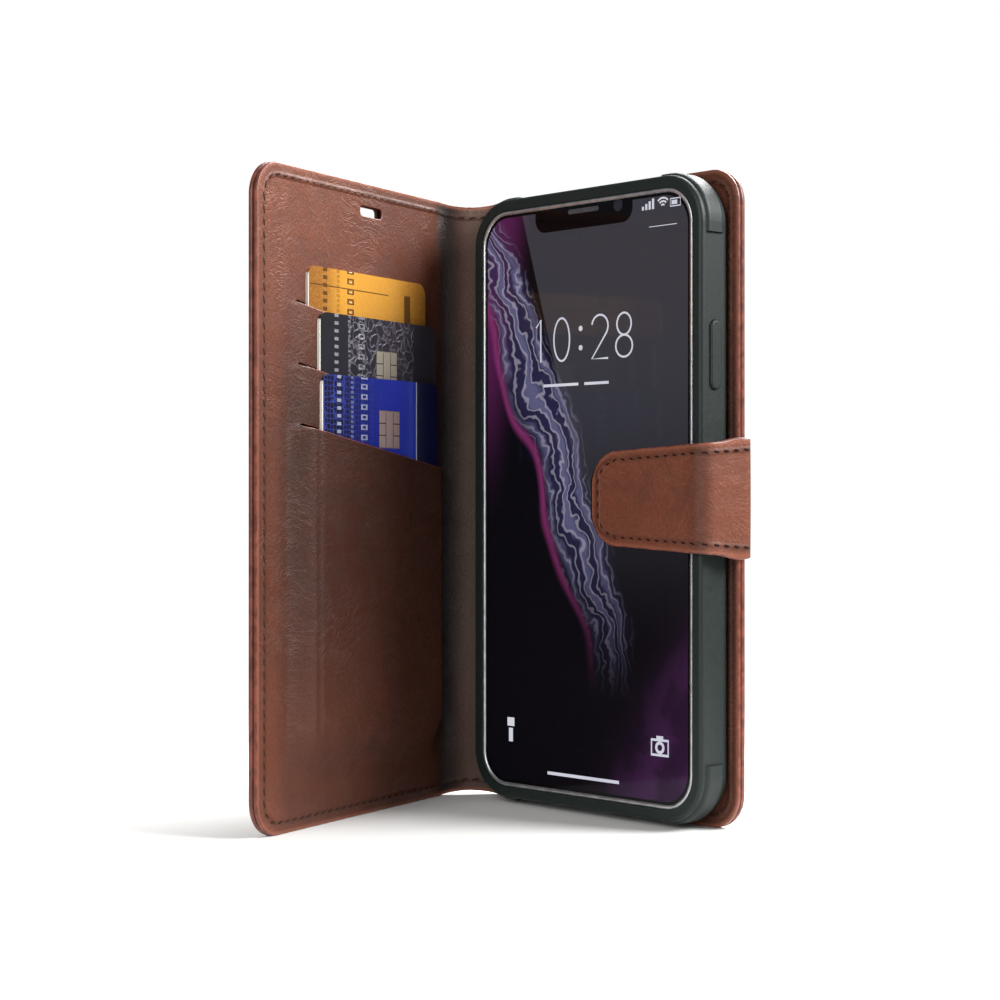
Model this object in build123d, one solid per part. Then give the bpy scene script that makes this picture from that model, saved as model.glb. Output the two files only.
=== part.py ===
"""Folio wallet case for a phone, standing open like a book, with its phone and three cards in it.

Units are millimetres. +Z is up, along the phone's long side, and the screen faces -Y.
The leather pieces are laid out flat first, opened like a book on its back, and then folded up.
Depth is measured from the hinge plane, the inner face of the outer leather, towards the inside.
"""
from build123d import *
from math import atan2, degrees, hypot, radians, tan
import os

# Phone
phone_width = 75.7
phone_height = 150.9
phone_thick = 8.3
phone_corner = 10.0
phone_edge_round = 2.4
glass_thick = 0.7
glass_inset = 1.7
frame_wall = 3.2
display_thick = 1.0
display_gap = 0.1
battery_thick = 4.0
inner_gap = 0.5

# Rear camera, flash and the case's camera window
camera_width = 14.0
camera_height = 27.0
camera_proud = 1.1
camera_wall = 1.4
camera_side_inset = 9.5
camera_top_inset = 10.0
lens_radius = 5.0
lens_thick = 0.8
flash_radius = 2.2
flash_gap = 3.2
window_margin = 3.0
flash_strip = 8.6

# Front openings of the phone
earpiece_length = 11.0
earpiece_height = 1.3
earpiece_drop = 3.6
front_lens_radius = 1.6
front_lens_side = 12.0

# Keys of the phone and the shell's button caps over them
key_depth = 2.2
key_proud = 0.35
key_fit = 0.08
key_travel = 0.3
key_inside = 1.9
side_key_length = 13.0
side_key_rise = 34.0
volume_key_length = 9.0
volume_up_rise = 40.0
volume_down_rise = 24.0
cap_border = 1.7
cap_depth = 3.6
cap_proud = 0.75
cap_fit = 0.1
mute_rise = 57.0
mute_length = 5.4
mute_depth = 2.0
mute_travel = 0.9
mute_window_length = 11.0
mute_window_depth = 5.4

# Bottom end of the phone and of the shell
port_length = 9.0
port_depth = 3.0
port_reach = 2.4
port_window_length = 14.4
port_window_depth = 6.4
sound_hole_radius = 0.75
sound_hole_pitch = 3.0
sound_hole_count = 5
sound_hole_start = 12.5
sound_window_length = 17.0
sound_window_depth = 3.4

# Shell
shell_wall = 1.75
shell_back = 1.5
shell_fit = 0.1
shell_lip = 1.1
shell_lip_rise = 0.6
shell_back_round = 2.6
shell_front_round = 1.1
bumper_swell = 0.7
bumper_reach = 15.0
bumper_inset = 2.6
steel_width = 46.0
steel_height = 62.0
steel_thick = 0.5
steel_corner = 4.0
steel_rise = -18.0

# Leather covers
cover_height = 158.0
skin_thick = 1.0
board_thick = 0.7
lining_thick = 0.8
board_inset = 1.4
edge_margin = 2.4
fold_margin = 2.2
outer_corner = 8.5
inner_corner = 1.5
front_width = 83.0

# Spine and folds
spine_width = 17.5
spine_board_thick = 0.4
spine_lining_thick = 0.5
spine_dip = 1.4
fold_gap = 0.35
fold_board_gap = 1.3
fold_lining_gap = 1.6
fold_angle = 53.9

# Magnets that hold the shell to the back cover
magnet_radius = 6.0
magnet_thick = 0.6
magnet_spread_x = 30.0
magnet_spread_z = 44.0

# Speaker slot in the front cover
slot_length = 10.0
slot_height = 2.5
slot_drop = 7.0
slot_edge = 48.8

# Catch plate in the front cover
catch_width = 26.0
catch_height = 34.0
catch_thick = 0.4
catch_edge = 30.0

# Cards and their pockets
card_width = 54.0
card_height = 85.6
card_thick = 0.76
card_corner = 3.18
card_gap = 0.05
card_edge = (19.6, 22.6, 21.8)
card_top = (135.0, 124.0, 109.0)
card_travel = 60.0
chip_width = 9.6
chip_height = 9.4
chip_thick = 0.12
chip_proud = 0.03
chip_drop = 12.6
chip_side = 30.1
chip_turned = (True, False, False)
strip_thick = 0.45
panel_thick = 0.6
slit_left_height = (126.0, 111.0, 96.5)
slit_slope = 8.5
slit_gap = 0.8
pocket_edge = 15.5
pocket_side_gap = 0.4
pocket_foot = 1.4
pocket_bottom = 18.0

# Strap with its magnet
strap_gap = 1.2
strap_root_width = 28.0
strap_fold_width = 26.0
strap_tip_width = 22.4
strap_tip_round = 8.0
strap_reach = 32.0
strap_half_thick = 1.1
strap_layer = 0.8
strap_side_shift = 3.0
strap_corner_out = 1.6
strap_rest_gap = 0.3
strap_anchor = 9.0
strap_magnet_length = 14.0
strap_magnet_width = 12.0
strap_magnet_margin = 5.0

# Levels and places worked out from the sizes above
hinge_y = -skin_thick / 2
lining_depth = board_thick + lining_thick
shell_depth = lining_depth
phone_depth = shell_depth + shell_back + shell_fit
glass_depth = phone_depth + phone_thick
lip_depth = glass_depth + shell_lip_rise
mid_height = cover_height / 2
shell_width = phone_width + 2 * (shell_wall + shell_fit)
shell_height = phone_height + 2 * (shell_wall + shell_fit)
shell_corner = phone_corner + shell_wall + shell_fit
cover_left = -shell_width / 2 - fold_margin
cover_right = shell_width / 2 + edge_margin
front_left = cover_left - spine_width - front_width
key_level = phone_depth + phone_thick / 2
camera_x = phone_width / 2 - camera_side_inset - camera_width / 2
camera_z = mid_height + phone_height / 2 - camera_top_inset - camera_height / 2
strap_a = (cover_right + strap_side_shift, hinge_y - board_thick / 2)
strap_level = lip_depth + strap_rest_gap + strap_half_thick
strap_b = (shell_width / 2 + strap_corner_out, hinge_y - strap_level)
strap_side_length = hypot(strap_a[0] - strap_b[0], strap_a[1] - strap_b[1])
strap_lean = degrees(atan2(strap_a[1] - strap_b[1], strap_a[0] - strap_b[0]))
strap_fold_a = strap_lean - 180
strap_fold_b = -strap_lean
tongue_length = strap_b[0] - (phone_width / 2 - strap_reach)
flat_b = strap_a[0] + strap_side_length
fold_back = (cover_left, hinge_y)
fold_front_flat = (cover_left - spine_width, hinge_y)
card_depth = [
    lining_depth + card_gap + level * (card_thick + strip_thick + 2 * card_gap)
    for level in range(len(card_top))
]


def slab(sketch, depth, thick):
    """A plate of the sketch's outline, its first face at that depth inside the hinge plane."""
    plane = Plane.XZ.offset(depth - hinge_y)
    return extrude(plane * sketch, thick)


def box_at(x, z, depth, width, height, thick):
    """A plain block, centred on x and z and starting at that depth."""
    return slab(Pos(x, z) * Rectangle(width, height), depth, thick)


def turn(part, axis_xy, angle):
    """The part turned about a vertical line."""
    place = Pos(axis_xy[0], axis_xy[1], 0)
    return place * Rot(0, 0, angle) * place.inverse() * part


def turned_point(point, axis_xy, angle):
    """A point in plan turned about another."""
    moved = Vector(point[0] - axis_xy[0], point[1] - axis_xy[1], 0).rotate(Axis.Z, angle)
    return (axis_xy[0] + moved.X, axis_xy[1] + moved.Y)


def on_spine(part):
    """Folds a flat piece up with the spine."""
    return turn(part, fold_back, fold_angle)


def on_front(part):
    """Folds a flat piece up with the front cover."""
    return on_spine(turn(part, fold_front_flat, fold_angle))


def on_strap_side(part):
    """Folds a flat strap piece round the case's right edge."""
    return turn(part, strap_a, strap_fold_a)


def on_tongue(part):
    """Folds a flat strap piece onto the screen."""
    return on_strap_side(turn(part, (flat_b, strap_a[1]), strap_fold_b))


def fold_front():
    """Where the front cover's fold stands, in plan."""
    return turned_point(fold_front_flat, fold_back, fold_angle)


def cover_sketch(left, right, inset, round_left, round_right):
    """Outline of a cover layer: rounded at its free edge, nearly square at the fold."""
    low = inset
    high = cover_height - inset
    outline = Polyline((left, low), (right, low), (right, high), (left, high), close=True)
    face = make_face(outline)
    left_corners = face.vertices().filter_by(lambda v: v.X < (left + right) / 2)
    face = fillet(left_corners, round_left)
    right_corners = face.vertices().filter_by(lambda v: v.X > right - inner_corner * 2)
    return fillet(right_corners, round_right) if round_right > 0 else face


def rounded(width, height, radius):
    """A rectangle with round corners."""
    return RectangleRounded(width, height, min(radius, width / 2 - 0.01, height / 2 - 0.01))


def camera_window_sketch(grow=0.0):
    """Opening in the case round the camera and its flash."""
    width = camera_width + 2 * (window_margin + grow)
    height = camera_height + flash_strip + 2 * (window_margin + grow)
    return Pos(camera_x, camera_z - flash_strip / 2) * rounded(width, height, width / 2 - 1)


# ---- back cover ---------------------------------------------------------------------------


def back_layer(left_gap, inset, depth, thick, window_grow):
    """One layer of the back cover with its camera window."""
    corner = outer_corner - inset
    outline = cover_sketch(cover_left + left_gap, cover_right - inset, inset, inner_corner, corner)
    window = camera_window_sketch(window_grow)
    return slab(outline, depth, thick) - slab(window, depth, thick)


def back_outer_skin():
    return back_layer(fold_gap, 0, -skin_thick, skin_thick, 0)


def back_board():
    board = back_layer(fold_board_gap, board_inset, 0, board_thick, board_inset)
    notch = box_at(cover_right, mid_height, 0, 2 * strap_anchor, strap_root_width, board_thick)
    return board - notch - magnet_discs(magnet_radius + key_fit, board_thick)


def back_lining():
    return back_layer(fold_lining_gap, 0, board_thick, lining_thick, 0)


def magnet_discs(radius, thick):
    """Four flat discs in the back board, over the shell's steel plate."""
    discs = Part()
    for side_x in (-1, 1):
        for side_z in (-1, 1):
            x = side_x * magnet_spread_x / 2
            z = mid_height + steel_rise + side_z * magnet_spread_z / 2
            discs += slab(Pos(x, z) * Circle(radius), 0, thick)
    return discs


def back_magnets():
    return magnet_discs(magnet_radius, magnet_thick)


def strap_root():
    """The strap's sewn end, held between the back cover's two leathers."""
    start = cover_right - strap_anchor + key_fit
    length = strap_a[0] - strap_gap / 2 - start
    width = strap_root_width - 2 * key_fit
    return box_at(start + length / 2, mid_height, 0, length, width, board_thick)


# ---- spine --------------------------------------------------------------------------------


def spine_layer(gap, inset, depth, thick):
    """One layer of the spine, its top and bottom edges dipping between the folds."""
    left = cover_left - spine_width + gap
    right = cover_left - gap
    middle = (left + right) / 2
    low = inset
    high = cover_height - inset
    outline = [
        ThreePointArc((left, low), (middle, low + spine_dip), (right, low)),
        Line((right, low), (right, high)),
        ThreePointArc((right, high), (middle, high - spine_dip), (left, high)),
        Line((left, high), (left, low)),
    ]
    return on_spine(slab(make_face(outline), depth, thick))


def spine_outer_skin():
    return spine_layer(fold_gap, 0, -skin_thick, skin_thick)


def spine_board():
    return spine_layer(fold_board_gap, board_inset, 0, spine_board_thick)


def spine_lining():
    return spine_layer(fold_lining_gap, 0, spine_board_thick, spine_lining_thick)


# ---- front cover --------------------------------------------------------------------------


def speaker_slot(depth, thick, grow=0.0):
    """Cut for the sound slot near the front cover's top edge."""
    place = Pos(front_left + slot_edge, cover_height - slot_drop)
    return slab(place * SlotOverall(slot_length + 2 * grow, slot_height + 2 * grow), depth, thick)


def front_layer(right_gap, inset, depth, thick, slot_grow):
    """One layer of the front cover, laid out flat, with its sound slot."""
    right = cover_left - spine_width - right_gap
    corner = outer_corner - inset
    outline = cover_sketch(front_left + inset, right, inset, corner, inner_corner)
    return slab(outline, depth, thick) - speaker_slot(depth, thick, slot_grow)


def front_outer_skin():
    return on_front(front_layer(fold_gap, 0, -skin_thick, skin_thick, 0))


def front_board():
    board = front_layer(fold_board_gap, board_inset, 0, board_thick, board_inset)
    recess = catch_block(key_fit, catch_thick + card_gap)
    return on_front(board - recess)


def front_lining():
    return on_front(front_layer(fold_lining_gap, 0, board_thick, lining_thick, 0))


def catch_block(grow, thick):
    """Place of the steel plate that the strap's magnet grips."""
    x = front_left + catch_edge
    return box_at(x, mid_height, 0, catch_width + 2 * grow, catch_height + 2 * grow, thick)


def catch_plate():
    return on_front(catch_block(0, catch_thick))


def slit_line(index, x):
    """Height of a slit at a place across the flat front cover."""
    run = x - (front_left + pocket_edge)
    return slit_left_height[index] - run * tan(radians(slit_slope))


def pocket_sides():
    """Left and right edges of the pockets, wide enough for the card nearest the fold."""
    left = front_left + pocket_edge
    right = front_left + max(card_edge) + card_width + pocket_side_gap + pocket_foot
    return left, right


def pocket_band(upper, lower):
    """Outline between two slits, or below the last one when lower is None."""
    left, right = pocket_sides()
    gap = slit_gap / 2
    low_left = pocket_bottom if lower is None else slit_line(lower, left) + gap
    low_right = pocket_bottom if lower is None else slit_line(lower, right) + gap
    top_left = slit_line(upper, left) - gap
    top_right = slit_line(upper, right) - gap
    corners = [(left, low_left), (right, low_right), (right, top_right), (left, top_left)]
    return make_face(Polyline(*corners, close=True))


def pocket_piece(upper, lower, depth, thick):
    """A leather band over the cards behind it, seated on the lining at both sides."""
    sketch = pocket_band(upper, lower)
    left, right = pocket_sides()
    base = lining_depth
    piece = slab(sketch, base, depth + thick - base)
    hollow_low = pocket_bottom + pocket_foot if lower is None else 0
    hollow = slab(
        make_face(
            Polyline(
                (left + pocket_foot, hollow_low),
                (right - pocket_foot, hollow_low),
                (right - pocket_foot, cover_height),
                (left + pocket_foot, cover_height),
                close=True,
            )
        ),
        base,
        depth - base,
    )
    return on_front(piece - hollow)


def pocket_strip_upper():
    return pocket_piece(0, 1, card_depth[0] + card_thick + card_gap, strip_thick)


def pocket_strip_lower():
    return pocket_piece(1, 2, card_depth[1] + card_thick + card_gap, strip_thick)


def pocket_panel():
    return pocket_piece(2, None, card_depth[2] + card_thick + card_gap, panel_thick)


def card_place(index):
    """Centre of a card across and up the flat front cover."""
    x = front_left + card_edge[index] + card_width / 2
    return (x, card_top[index] - card_height / 2)


def chip_cut(index, grow, depth, thick):
    """Block for a card's contact chip or its recess."""
    side = card_width - chip_side if chip_turned[index] else chip_side
    drop = card_height - chip_drop if chip_turned[index] else chip_drop
    x = front_left + card_edge[index] + side
    z = card_top[index] - drop
    return box_at(x, z, depth, chip_width + 2 * grow, chip_height + 2 * grow, thick)


def card(index):
    x, z = card_place(index)
    body = slab(Pos(x, z) * rounded(card_width, card_height, card_corner), card_depth[index], card_thick)
    recess_depth = card_depth[index] + card_thick - chip_thick
    return on_front(body - chip_cut(index, chip_proud, recess_depth, chip_thick))


def card_chip(index):
    depth = card_depth[index] + card_thick - chip_thick
    return on_front(chip_cut(index, 0, depth, chip_thick + chip_proud))


# ---- shell --------------------------------------------------------------------------------


def phone_block(grow, depth, thick):
    """The phone's outline, grown on every side."""
    outline = rounded(phone_width + 2 * grow, phone_height + 2 * grow, phone_corner + grow)
    return slab(Pos(0, mid_height) * outline, depth, thick)


def rounded_phone_block(grow, depth, thick, back_round, front_round):
    """The phone's outline as a block with its long edges rounded."""
    block = phone_block(grow, depth, thick)
    back_edges = block.edges().group_by(Axis.Y)[-1]
    block = fillet(back_edges, back_round)
    front_edges = block.edges().group_by(Axis.Y)[0]
    return fillet(front_edges, front_round)


def corner_bumpers():
    """Slight swellings of the shell's four corners."""
    swell = shell_wall + shell_fit + bumper_swell
    low = shell_depth + bumper_inset
    thick = lip_depth - bumper_inset / 2 - low
    ring = rounded_phone_block(swell, low, thick, bumper_swell * 2, bumper_swell * 2)
    reach = 2 * bumper_reach
    keep = Part()
    for side_x in (-1, 1):
        for side_z in (-1, 1):
            x = side_x * (shell_width / 2 + bumper_swell)
            z = mid_height + side_z * (shell_height / 2 + bumper_swell)
            column = slab(Pos(x, z) * rounded(reach, reach, bumper_reach - 1), 0, lip_depth)
            keep += column
    return ring & keep


def shell_windows():
    """Cuts through the shell's walls for keys, switch, port and sound."""
    wall_x = phone_width / 2 + shell_wall / 2
    side = 2 * shell_wall + 2 * bumper_swell + 1
    bottom = mid_height - phone_height / 2 - shell_wall / 2
    cuts = Part()
    cuts += cap_block(1, side_key_rise, side_key_length, cap_fit)
    cuts += cap_block(-1, volume_up_rise, volume_key_length, cap_fit)
    cuts += cap_block(-1, volume_down_rise, volume_key_length, cap_fit)
    mute = Pos(-wall_x, hinge_y - key_level, mid_height + mute_rise) * Rot(0, 90, 0)
    cuts += mute * extrude(rounded(mute_window_length, mute_window_depth, 2), side, both=True)
    floor_place = Pos(0, hinge_y - key_level, bottom)
    cuts += floor_place * extrude(rounded(port_window_length, port_window_depth, 3), side, both=True)
    for way in (-1, 1):
        x = way * (sound_hole_start + (sound_hole_count - 1) * sound_hole_pitch / 2)
        place = Pos(x, hinge_y - key_level, bottom)
        cuts += place * extrude(rounded(sound_window_length - 3, sound_window_depth, 1.6), side, both=True)
    return cuts


def shell():
    """Tray that holds the phone, with a lip over the screen's edge."""
    grow = shell_wall + shell_fit
    thick = lip_depth - shell_depth
    body = rounded_phone_block(grow, shell_depth, thick, shell_back_round, shell_front_round)
    body += corner_bumpers()
    pocket = rounded_phone_block(shell_fit, phone_depth - shell_fit, phone_thick + shell_fit,
                                 phone_edge_round - shell_fit, phone_edge_round * 0.25)
    mouth = phone_block(-shell_lip, phone_depth, thick)
    plate = slab(Pos(0, mid_height + steel_rise) * rounded(steel_width, steel_height, steel_corner),
                 shell_depth, steel_thick)
    window = slab(camera_window_sketch(), shell_depth, shell_back + shell_fit)
    return body - pocket - mouth - plate - window - shell_windows()


def steel_plate():
    """Plate moulded into the back of the shell, which the magnets hold."""
    fit = key_fit
    outline = rounded(steel_width - fit, steel_height - fit, steel_corner)
    return slab(Pos(0, mid_height + steel_rise) * outline, shell_depth, steel_thick)


def cap_block(side, rise, key_length, grow):
    """A button cap's block, standing through the shell's wall."""
    inner = phone_width / 2 + key_proud
    outer = shell_width / 2 + cap_proud
    length = key_length + 2 * cap_border + 2 * grow
    depth = cap_depth + 2 * grow
    outline = rounded(depth, length, depth / 2 - 0.2)
    place = Pos(side * inner, hinge_y - key_level, mid_height + rise) * Rot(0, 90 * side, 0)
    block = extrude(Rot(0, 0, 90) * outline, outer - inner + grow)
    if grow > 0:
        block += extrude(Rot(0, 0, 90) * outline, -(shell_fit + key_proud + grow))
    return place * block


def button_cap(side, rise, key_length):
    """A button moulded for the shell, its outer edge softened."""
    block = cap_block(side, rise, key_length, 0)
    faces = block.edges().group_by(Axis.X)
    outer_edges = faces[-1] if side > 0 else faces[0]
    return fillet(outer_edges, cap_proud * 0.7)


def key_block(side, rise, length, grow, sink):
    """A key of the phone, or its slot in the frame, deeper by the key's travel."""
    start = phone_width / 2 - key_inside - grow - sink
    end = phone_width / 2 + key_proud
    width = key_depth + 2 * grow
    outline = rounded(width, length + 2 * grow, width / 2 - 0.1)
    place = Pos(side * start, hinge_y - key_level, mid_height + rise) * Rot(0, 90 * side, 0)
    return place * extrude(Rot(0, 0, 90) * outline, end - start)


# ---- phone --------------------------------------------------------------------------------


def bottom_drill(x, radius, reach):
    """A round hole up into the phone's bottom end."""
    place = Pos(x, hinge_y - key_level, mid_height - phone_height / 2)
    return place * extrude(Circle(radius), reach)


def port_block(grow):
    """The charging port's socket in the phone's bottom end."""
    place = Pos(0, hinge_y - key_level, mid_height - phone_height / 2)
    return place * extrude(rounded(port_length + grow, port_depth + grow, port_depth / 2 - 0.1), port_reach)


def phone_frame():
    """Metal band round the phone with seats for both glasses."""
    body = rounded_phone_block(0, phone_depth, phone_thick, phone_edge_round, phone_edge_round)
    body -= phone_block(-glass_inset, glass_depth - glass_thick, glass_thick)
    body -= phone_block(-glass_inset, phone_depth, glass_thick)
    body -= phone_block(-frame_wall, phone_depth, phone_thick)
    body -= key_block(1, side_key_rise, side_key_length, key_fit, key_travel)
    body -= key_block(-1, volume_up_rise, volume_key_length, key_fit, key_travel)
    body -= key_block(-1, volume_down_rise, volume_key_length, key_fit, key_travel)
    body -= mute_slot()
    body -= port_block(0)
    for way in (-1, 1):
        for step in range(sound_hole_count):
            x = way * (sound_hole_start + step * sound_hole_pitch)
            body -= bottom_drill(x, sound_hole_radius, port_reach)
    return body


def mute_slot():
    """Slot that lets the mute switch slide front to back."""
    return mute_block(key_fit, mute_travel, -key_fit)


def mute_block(grow, travel, inside):
    """The mute switch's block, lengthened by its travel for the slot."""
    start = phone_width / 2 - key_inside + inside
    end = phone_width / 2 + key_proud
    depth = mute_depth + 2 * grow + travel
    place = Pos(-start, hinge_y - key_level + travel / 2, mid_height + mute_rise) * Rot(0, -90, 0)
    outline = rounded(mute_length + 2 * grow, depth, mute_depth / 2 - 0.1)
    return place * extrude(outline, end - start)


def mute_switch():
    return mute_block(0, 0, 0)


def port_insert():
    """Tongue inside the charging port."""
    place = Pos(0, hinge_y - key_level, mid_height - phone_height / 2 + port_reach)
    tongue = extrude(Rectangle(port_length * 0.7, port_depth * 0.25), -port_reach * 0.75)
    return place * tongue


def front_glass():
    """Cover glass of the screen, with its earpiece slot and lens hole."""
    top = mid_height + phone_height / 2 - earpiece_drop
    start = glass_depth - glass_thick
    glass = phone_block(-glass_inset - key_fit, start, glass_thick)
    glass -= slab(Pos(0, top) * SlotOverall(earpiece_length, earpiece_height), start, glass_thick)
    return glass - slab(Pos(front_lens_side, top) * Circle(front_lens_radius), start, glass_thick)


def earpiece_grille():
    """Mesh strip set in the glass over the earpiece."""
    top = mid_height + phone_height / 2 - earpiece_drop
    strip = SlotOverall(earpiece_length - key_fit, earpiece_height - key_fit)
    return slab(Pos(0, top) * strip, glass_depth - glass_thick, glass_thick * 0.7)


def front_lens():
    """Lens of the front camera, set in the glass."""
    top = mid_height + phone_height / 2 - earpiece_drop
    disc = Circle(front_lens_radius - key_fit / 2)
    return slab(Pos(front_lens_side, top) * disc, glass_depth - glass_thick, glass_thick * 0.9)


def back_glass():
    return phone_block(-glass_inset - key_fit, phone_depth, glass_thick)


def display_panel():
    """Display under the cover glass."""
    start = glass_depth - glass_thick - display_thick
    return phone_block(-frame_wall - display_gap, start, display_thick)


def battery():
    """Battery that fills the phone's lower middle."""
    start = phone_depth + glass_thick
    width = phone_width * 0.45
    height = phone_height * 0.6
    x = -phone_width / 2 + frame_wall + inner_gap + width / 2
    return box_at(x, mid_height - phone_height * 0.1, start, width, height, battery_thick)


def main_board():
    """Circuit board beside the battery."""
    start = phone_depth + glass_thick
    left = -phone_width / 2 + frame_wall + 2 * inner_gap + phone_width * 0.45
    right = phone_width / 2 - frame_wall - inner_gap
    return box_at((left + right) / 2, mid_height - phone_height * 0.1, start,
                  right - left, phone_height * 0.6, battery_thick / 2)


def camera_bezel():
    """Raised rim round the rear lenses, standing on the back glass."""
    outline = rounded(camera_width, camera_height, camera_width / 2 - 0.5)
    plate = slab(Pos(camera_x, camera_z) * outline, phone_depth - camera_proud, camera_proud)
    return plate - lens_discs(lens_radius + key_fit, camera_proud, camera_proud)


def lens_discs(radius, sink, thick):
    """Two discs, one above the other, in the camera's rim."""
    discs = Part()
    offset = camera_height / 2 - camera_width / 2
    for side in (-1, 1):
        place = Pos(camera_x, camera_z + side * offset)
        discs += slab(place * Circle(radius), phone_depth - sink, thick)
    return discs


def rear_lenses():
    return lens_discs(lens_radius, lens_thick, lens_thick)


def flash_lens():
    """Small light below the lenses."""
    z = camera_z - camera_height / 2 - flash_gap
    return slab(Pos(camera_x, z) * Circle(flash_radius), phone_depth - lens_thick / 2, lens_thick / 2)


# ---- strap --------------------------------------------------------------------------------


def strap_side_sketch(inset=0.0):
    """Flat outline of the strap between the back cover and the screen's edge."""
    left = strap_a[0] + strap_gap + inset
    right = flat_b - strap_gap - inset
    root = strap_root_width / 2 - inset
    fold = strap_fold_width / 2 - inset
    corners = [(left, -root), (right, -fold), (right, fold), (left, root)]
    return Pos(0, mid_height) * make_face(Polyline(*corners, close=True))


def tongue_sketch(inset=0.0):
    """Flat outline of the strap's free end, with its round corners."""
    left = flat_b + strap_gap + inset
    right = flat_b + tongue_length - inset
    fold = strap_fold_width / 2 - inset
    tip = strap_tip_width / 2 - inset
    corners = [(left, -fold), (right, -tip), (right, tip), (left, fold)]
    face = make_face(Polyline(*corners, close=True))
    ends = face.vertices().filter_by(lambda v: v.X > (left + right) / 2)
    return Pos(0, mid_height) * fillet(ends, strap_tip_round - inset)


def strap_depth(offset):
    """Depth of a level across the strap, counted from its middle plane."""
    return board_thick / 2 + offset


def strap_side_outer():
    return on_strap_side(slab(strap_side_sketch(), strap_depth(-strap_half_thick), strap_half_thick))


def strap_side_lining():
    return on_strap_side(slab(strap_side_sketch(), strap_depth(0), strap_layer))


def tongue_outer():
    return on_tongue(slab(tongue_sketch(), strap_depth(-strap_half_thick), strap_layer))


def tongue_lining():
    return on_tongue(slab(tongue_sketch(), strap_depth(strap_half_thick - strap_layer), strap_layer))


def tongue_core_thick():
    return 2 * (strap_half_thick - strap_layer)


def magnet_place():
    """Centre of the strap's magnet along the flat strap."""
    return flat_b + tongue_length - strap_magnet_margin - strap_magnet_length / 2


def tongue_core():
    """Stiff filler between the tongue's leathers, round the magnet."""
    start = strap_depth(-strap_half_thick + strap_layer)
    core = slab(tongue_sketch(board_inset), start, tongue_core_thick())
    hole = box_at(magnet_place(), mid_height, start, strap_magnet_length + 2 * key_fit,
                  strap_magnet_width + 2 * key_fit, tongue_core_thick())
    return on_tongue(core - hole)


def tongue_magnet():
    start = strap_depth(-strap_half_thick + strap_layer)
    return on_tongue(box_at(magnet_place(), mid_height, start, strap_magnet_length,
                            strap_magnet_width, tongue_core_thick()))


def all_nodes():
    """Every sub-part by its node name."""
    nodes = {
        "back_outer_skin": back_outer_skin(),
        "back_board": back_board(),
        "back_lining": back_lining(),
        "back_magnets": back_magnets(),
        "strap_root": strap_root(),
        "spine_outer_skin": spine_outer_skin(),
        "spine_board": spine_board(),
        "spine_lining": spine_lining(),
        "front_outer_skin": front_outer_skin(),
        "front_board": front_board(),
        "front_lining": front_lining(),
        "catch_plate": catch_plate(),
        "pocket_strip_upper": pocket_strip_upper(),
        "pocket_strip_lower": pocket_strip_lower(),
        "pocket_panel": pocket_panel(),
        "shell": shell(),
        "steel_plate": steel_plate(),
        "side_button_cap": button_cap(1, side_key_rise, side_key_length),
        "side_key": key_block(1, side_key_rise, side_key_length, 0, 0),
        "volume_up_cap": button_cap(-1, volume_up_rise, volume_key_length),
        "volume_up_key": key_block(-1, volume_up_rise, volume_key_length, 0, 0),
        "volume_down_cap": button_cap(-1, volume_down_rise, volume_key_length),
        "volume_down_key": key_block(-1, volume_down_rise, volume_key_length, 0, 0),
        "mute_switch": mute_switch(),
        "phone_frame": phone_frame(),
        "front_glass": front_glass(),
        "earpiece_grille": earpiece_grille(),
        "front_lens": front_lens(),
        "display_panel": display_panel(),
        "battery": battery(),
        "main_board": main_board(),
        "back_glass": back_glass(),
        "camera_bezel": camera_bezel(),
        "rear_lenses": rear_lenses(),
        "flash_lens": flash_lens(),
        "port_insert": port_insert(),
        "strap_side_outer": strap_side_outer(),
        "strap_side_lining": strap_side_lining(),
        "tongue_outer": tongue_outer(),
        "tongue_lining": tongue_lining(),
        "tongue_core": tongue_core(),
        "tongue_magnet": tongue_magnet(),
    }
    for index, name in enumerate(("gold", "dark", "blue")):
        nodes["card_" + name] = card(index)
        nodes["chip_" + name] = card_chip(index)
    return nodes


def main():
    os.makedirs("parts", exist_ok=True)
    for name, part in all_nodes().items():
        export_step(part, os.path.join("parts", name + ".step"))
        print(name, len(part.solids()), round(part.volume, 2))


if __name__ == "__main__":
    main()
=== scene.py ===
import math

import bpy
import numpy as np
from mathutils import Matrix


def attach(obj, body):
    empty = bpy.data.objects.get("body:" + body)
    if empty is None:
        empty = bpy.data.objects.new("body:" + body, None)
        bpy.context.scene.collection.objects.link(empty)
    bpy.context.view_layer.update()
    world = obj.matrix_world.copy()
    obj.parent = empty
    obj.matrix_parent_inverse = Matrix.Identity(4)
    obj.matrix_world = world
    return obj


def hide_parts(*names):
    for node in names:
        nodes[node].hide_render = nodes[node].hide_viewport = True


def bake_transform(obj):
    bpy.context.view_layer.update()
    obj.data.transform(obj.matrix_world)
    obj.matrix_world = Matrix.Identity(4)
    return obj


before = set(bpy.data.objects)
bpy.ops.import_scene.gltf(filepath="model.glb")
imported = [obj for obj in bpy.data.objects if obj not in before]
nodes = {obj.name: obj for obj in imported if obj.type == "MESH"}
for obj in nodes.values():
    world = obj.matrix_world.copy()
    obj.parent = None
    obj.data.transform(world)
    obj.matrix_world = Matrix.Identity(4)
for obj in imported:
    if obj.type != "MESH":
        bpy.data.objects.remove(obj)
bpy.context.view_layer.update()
print("frame loaded")

mm = 0.001

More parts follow.
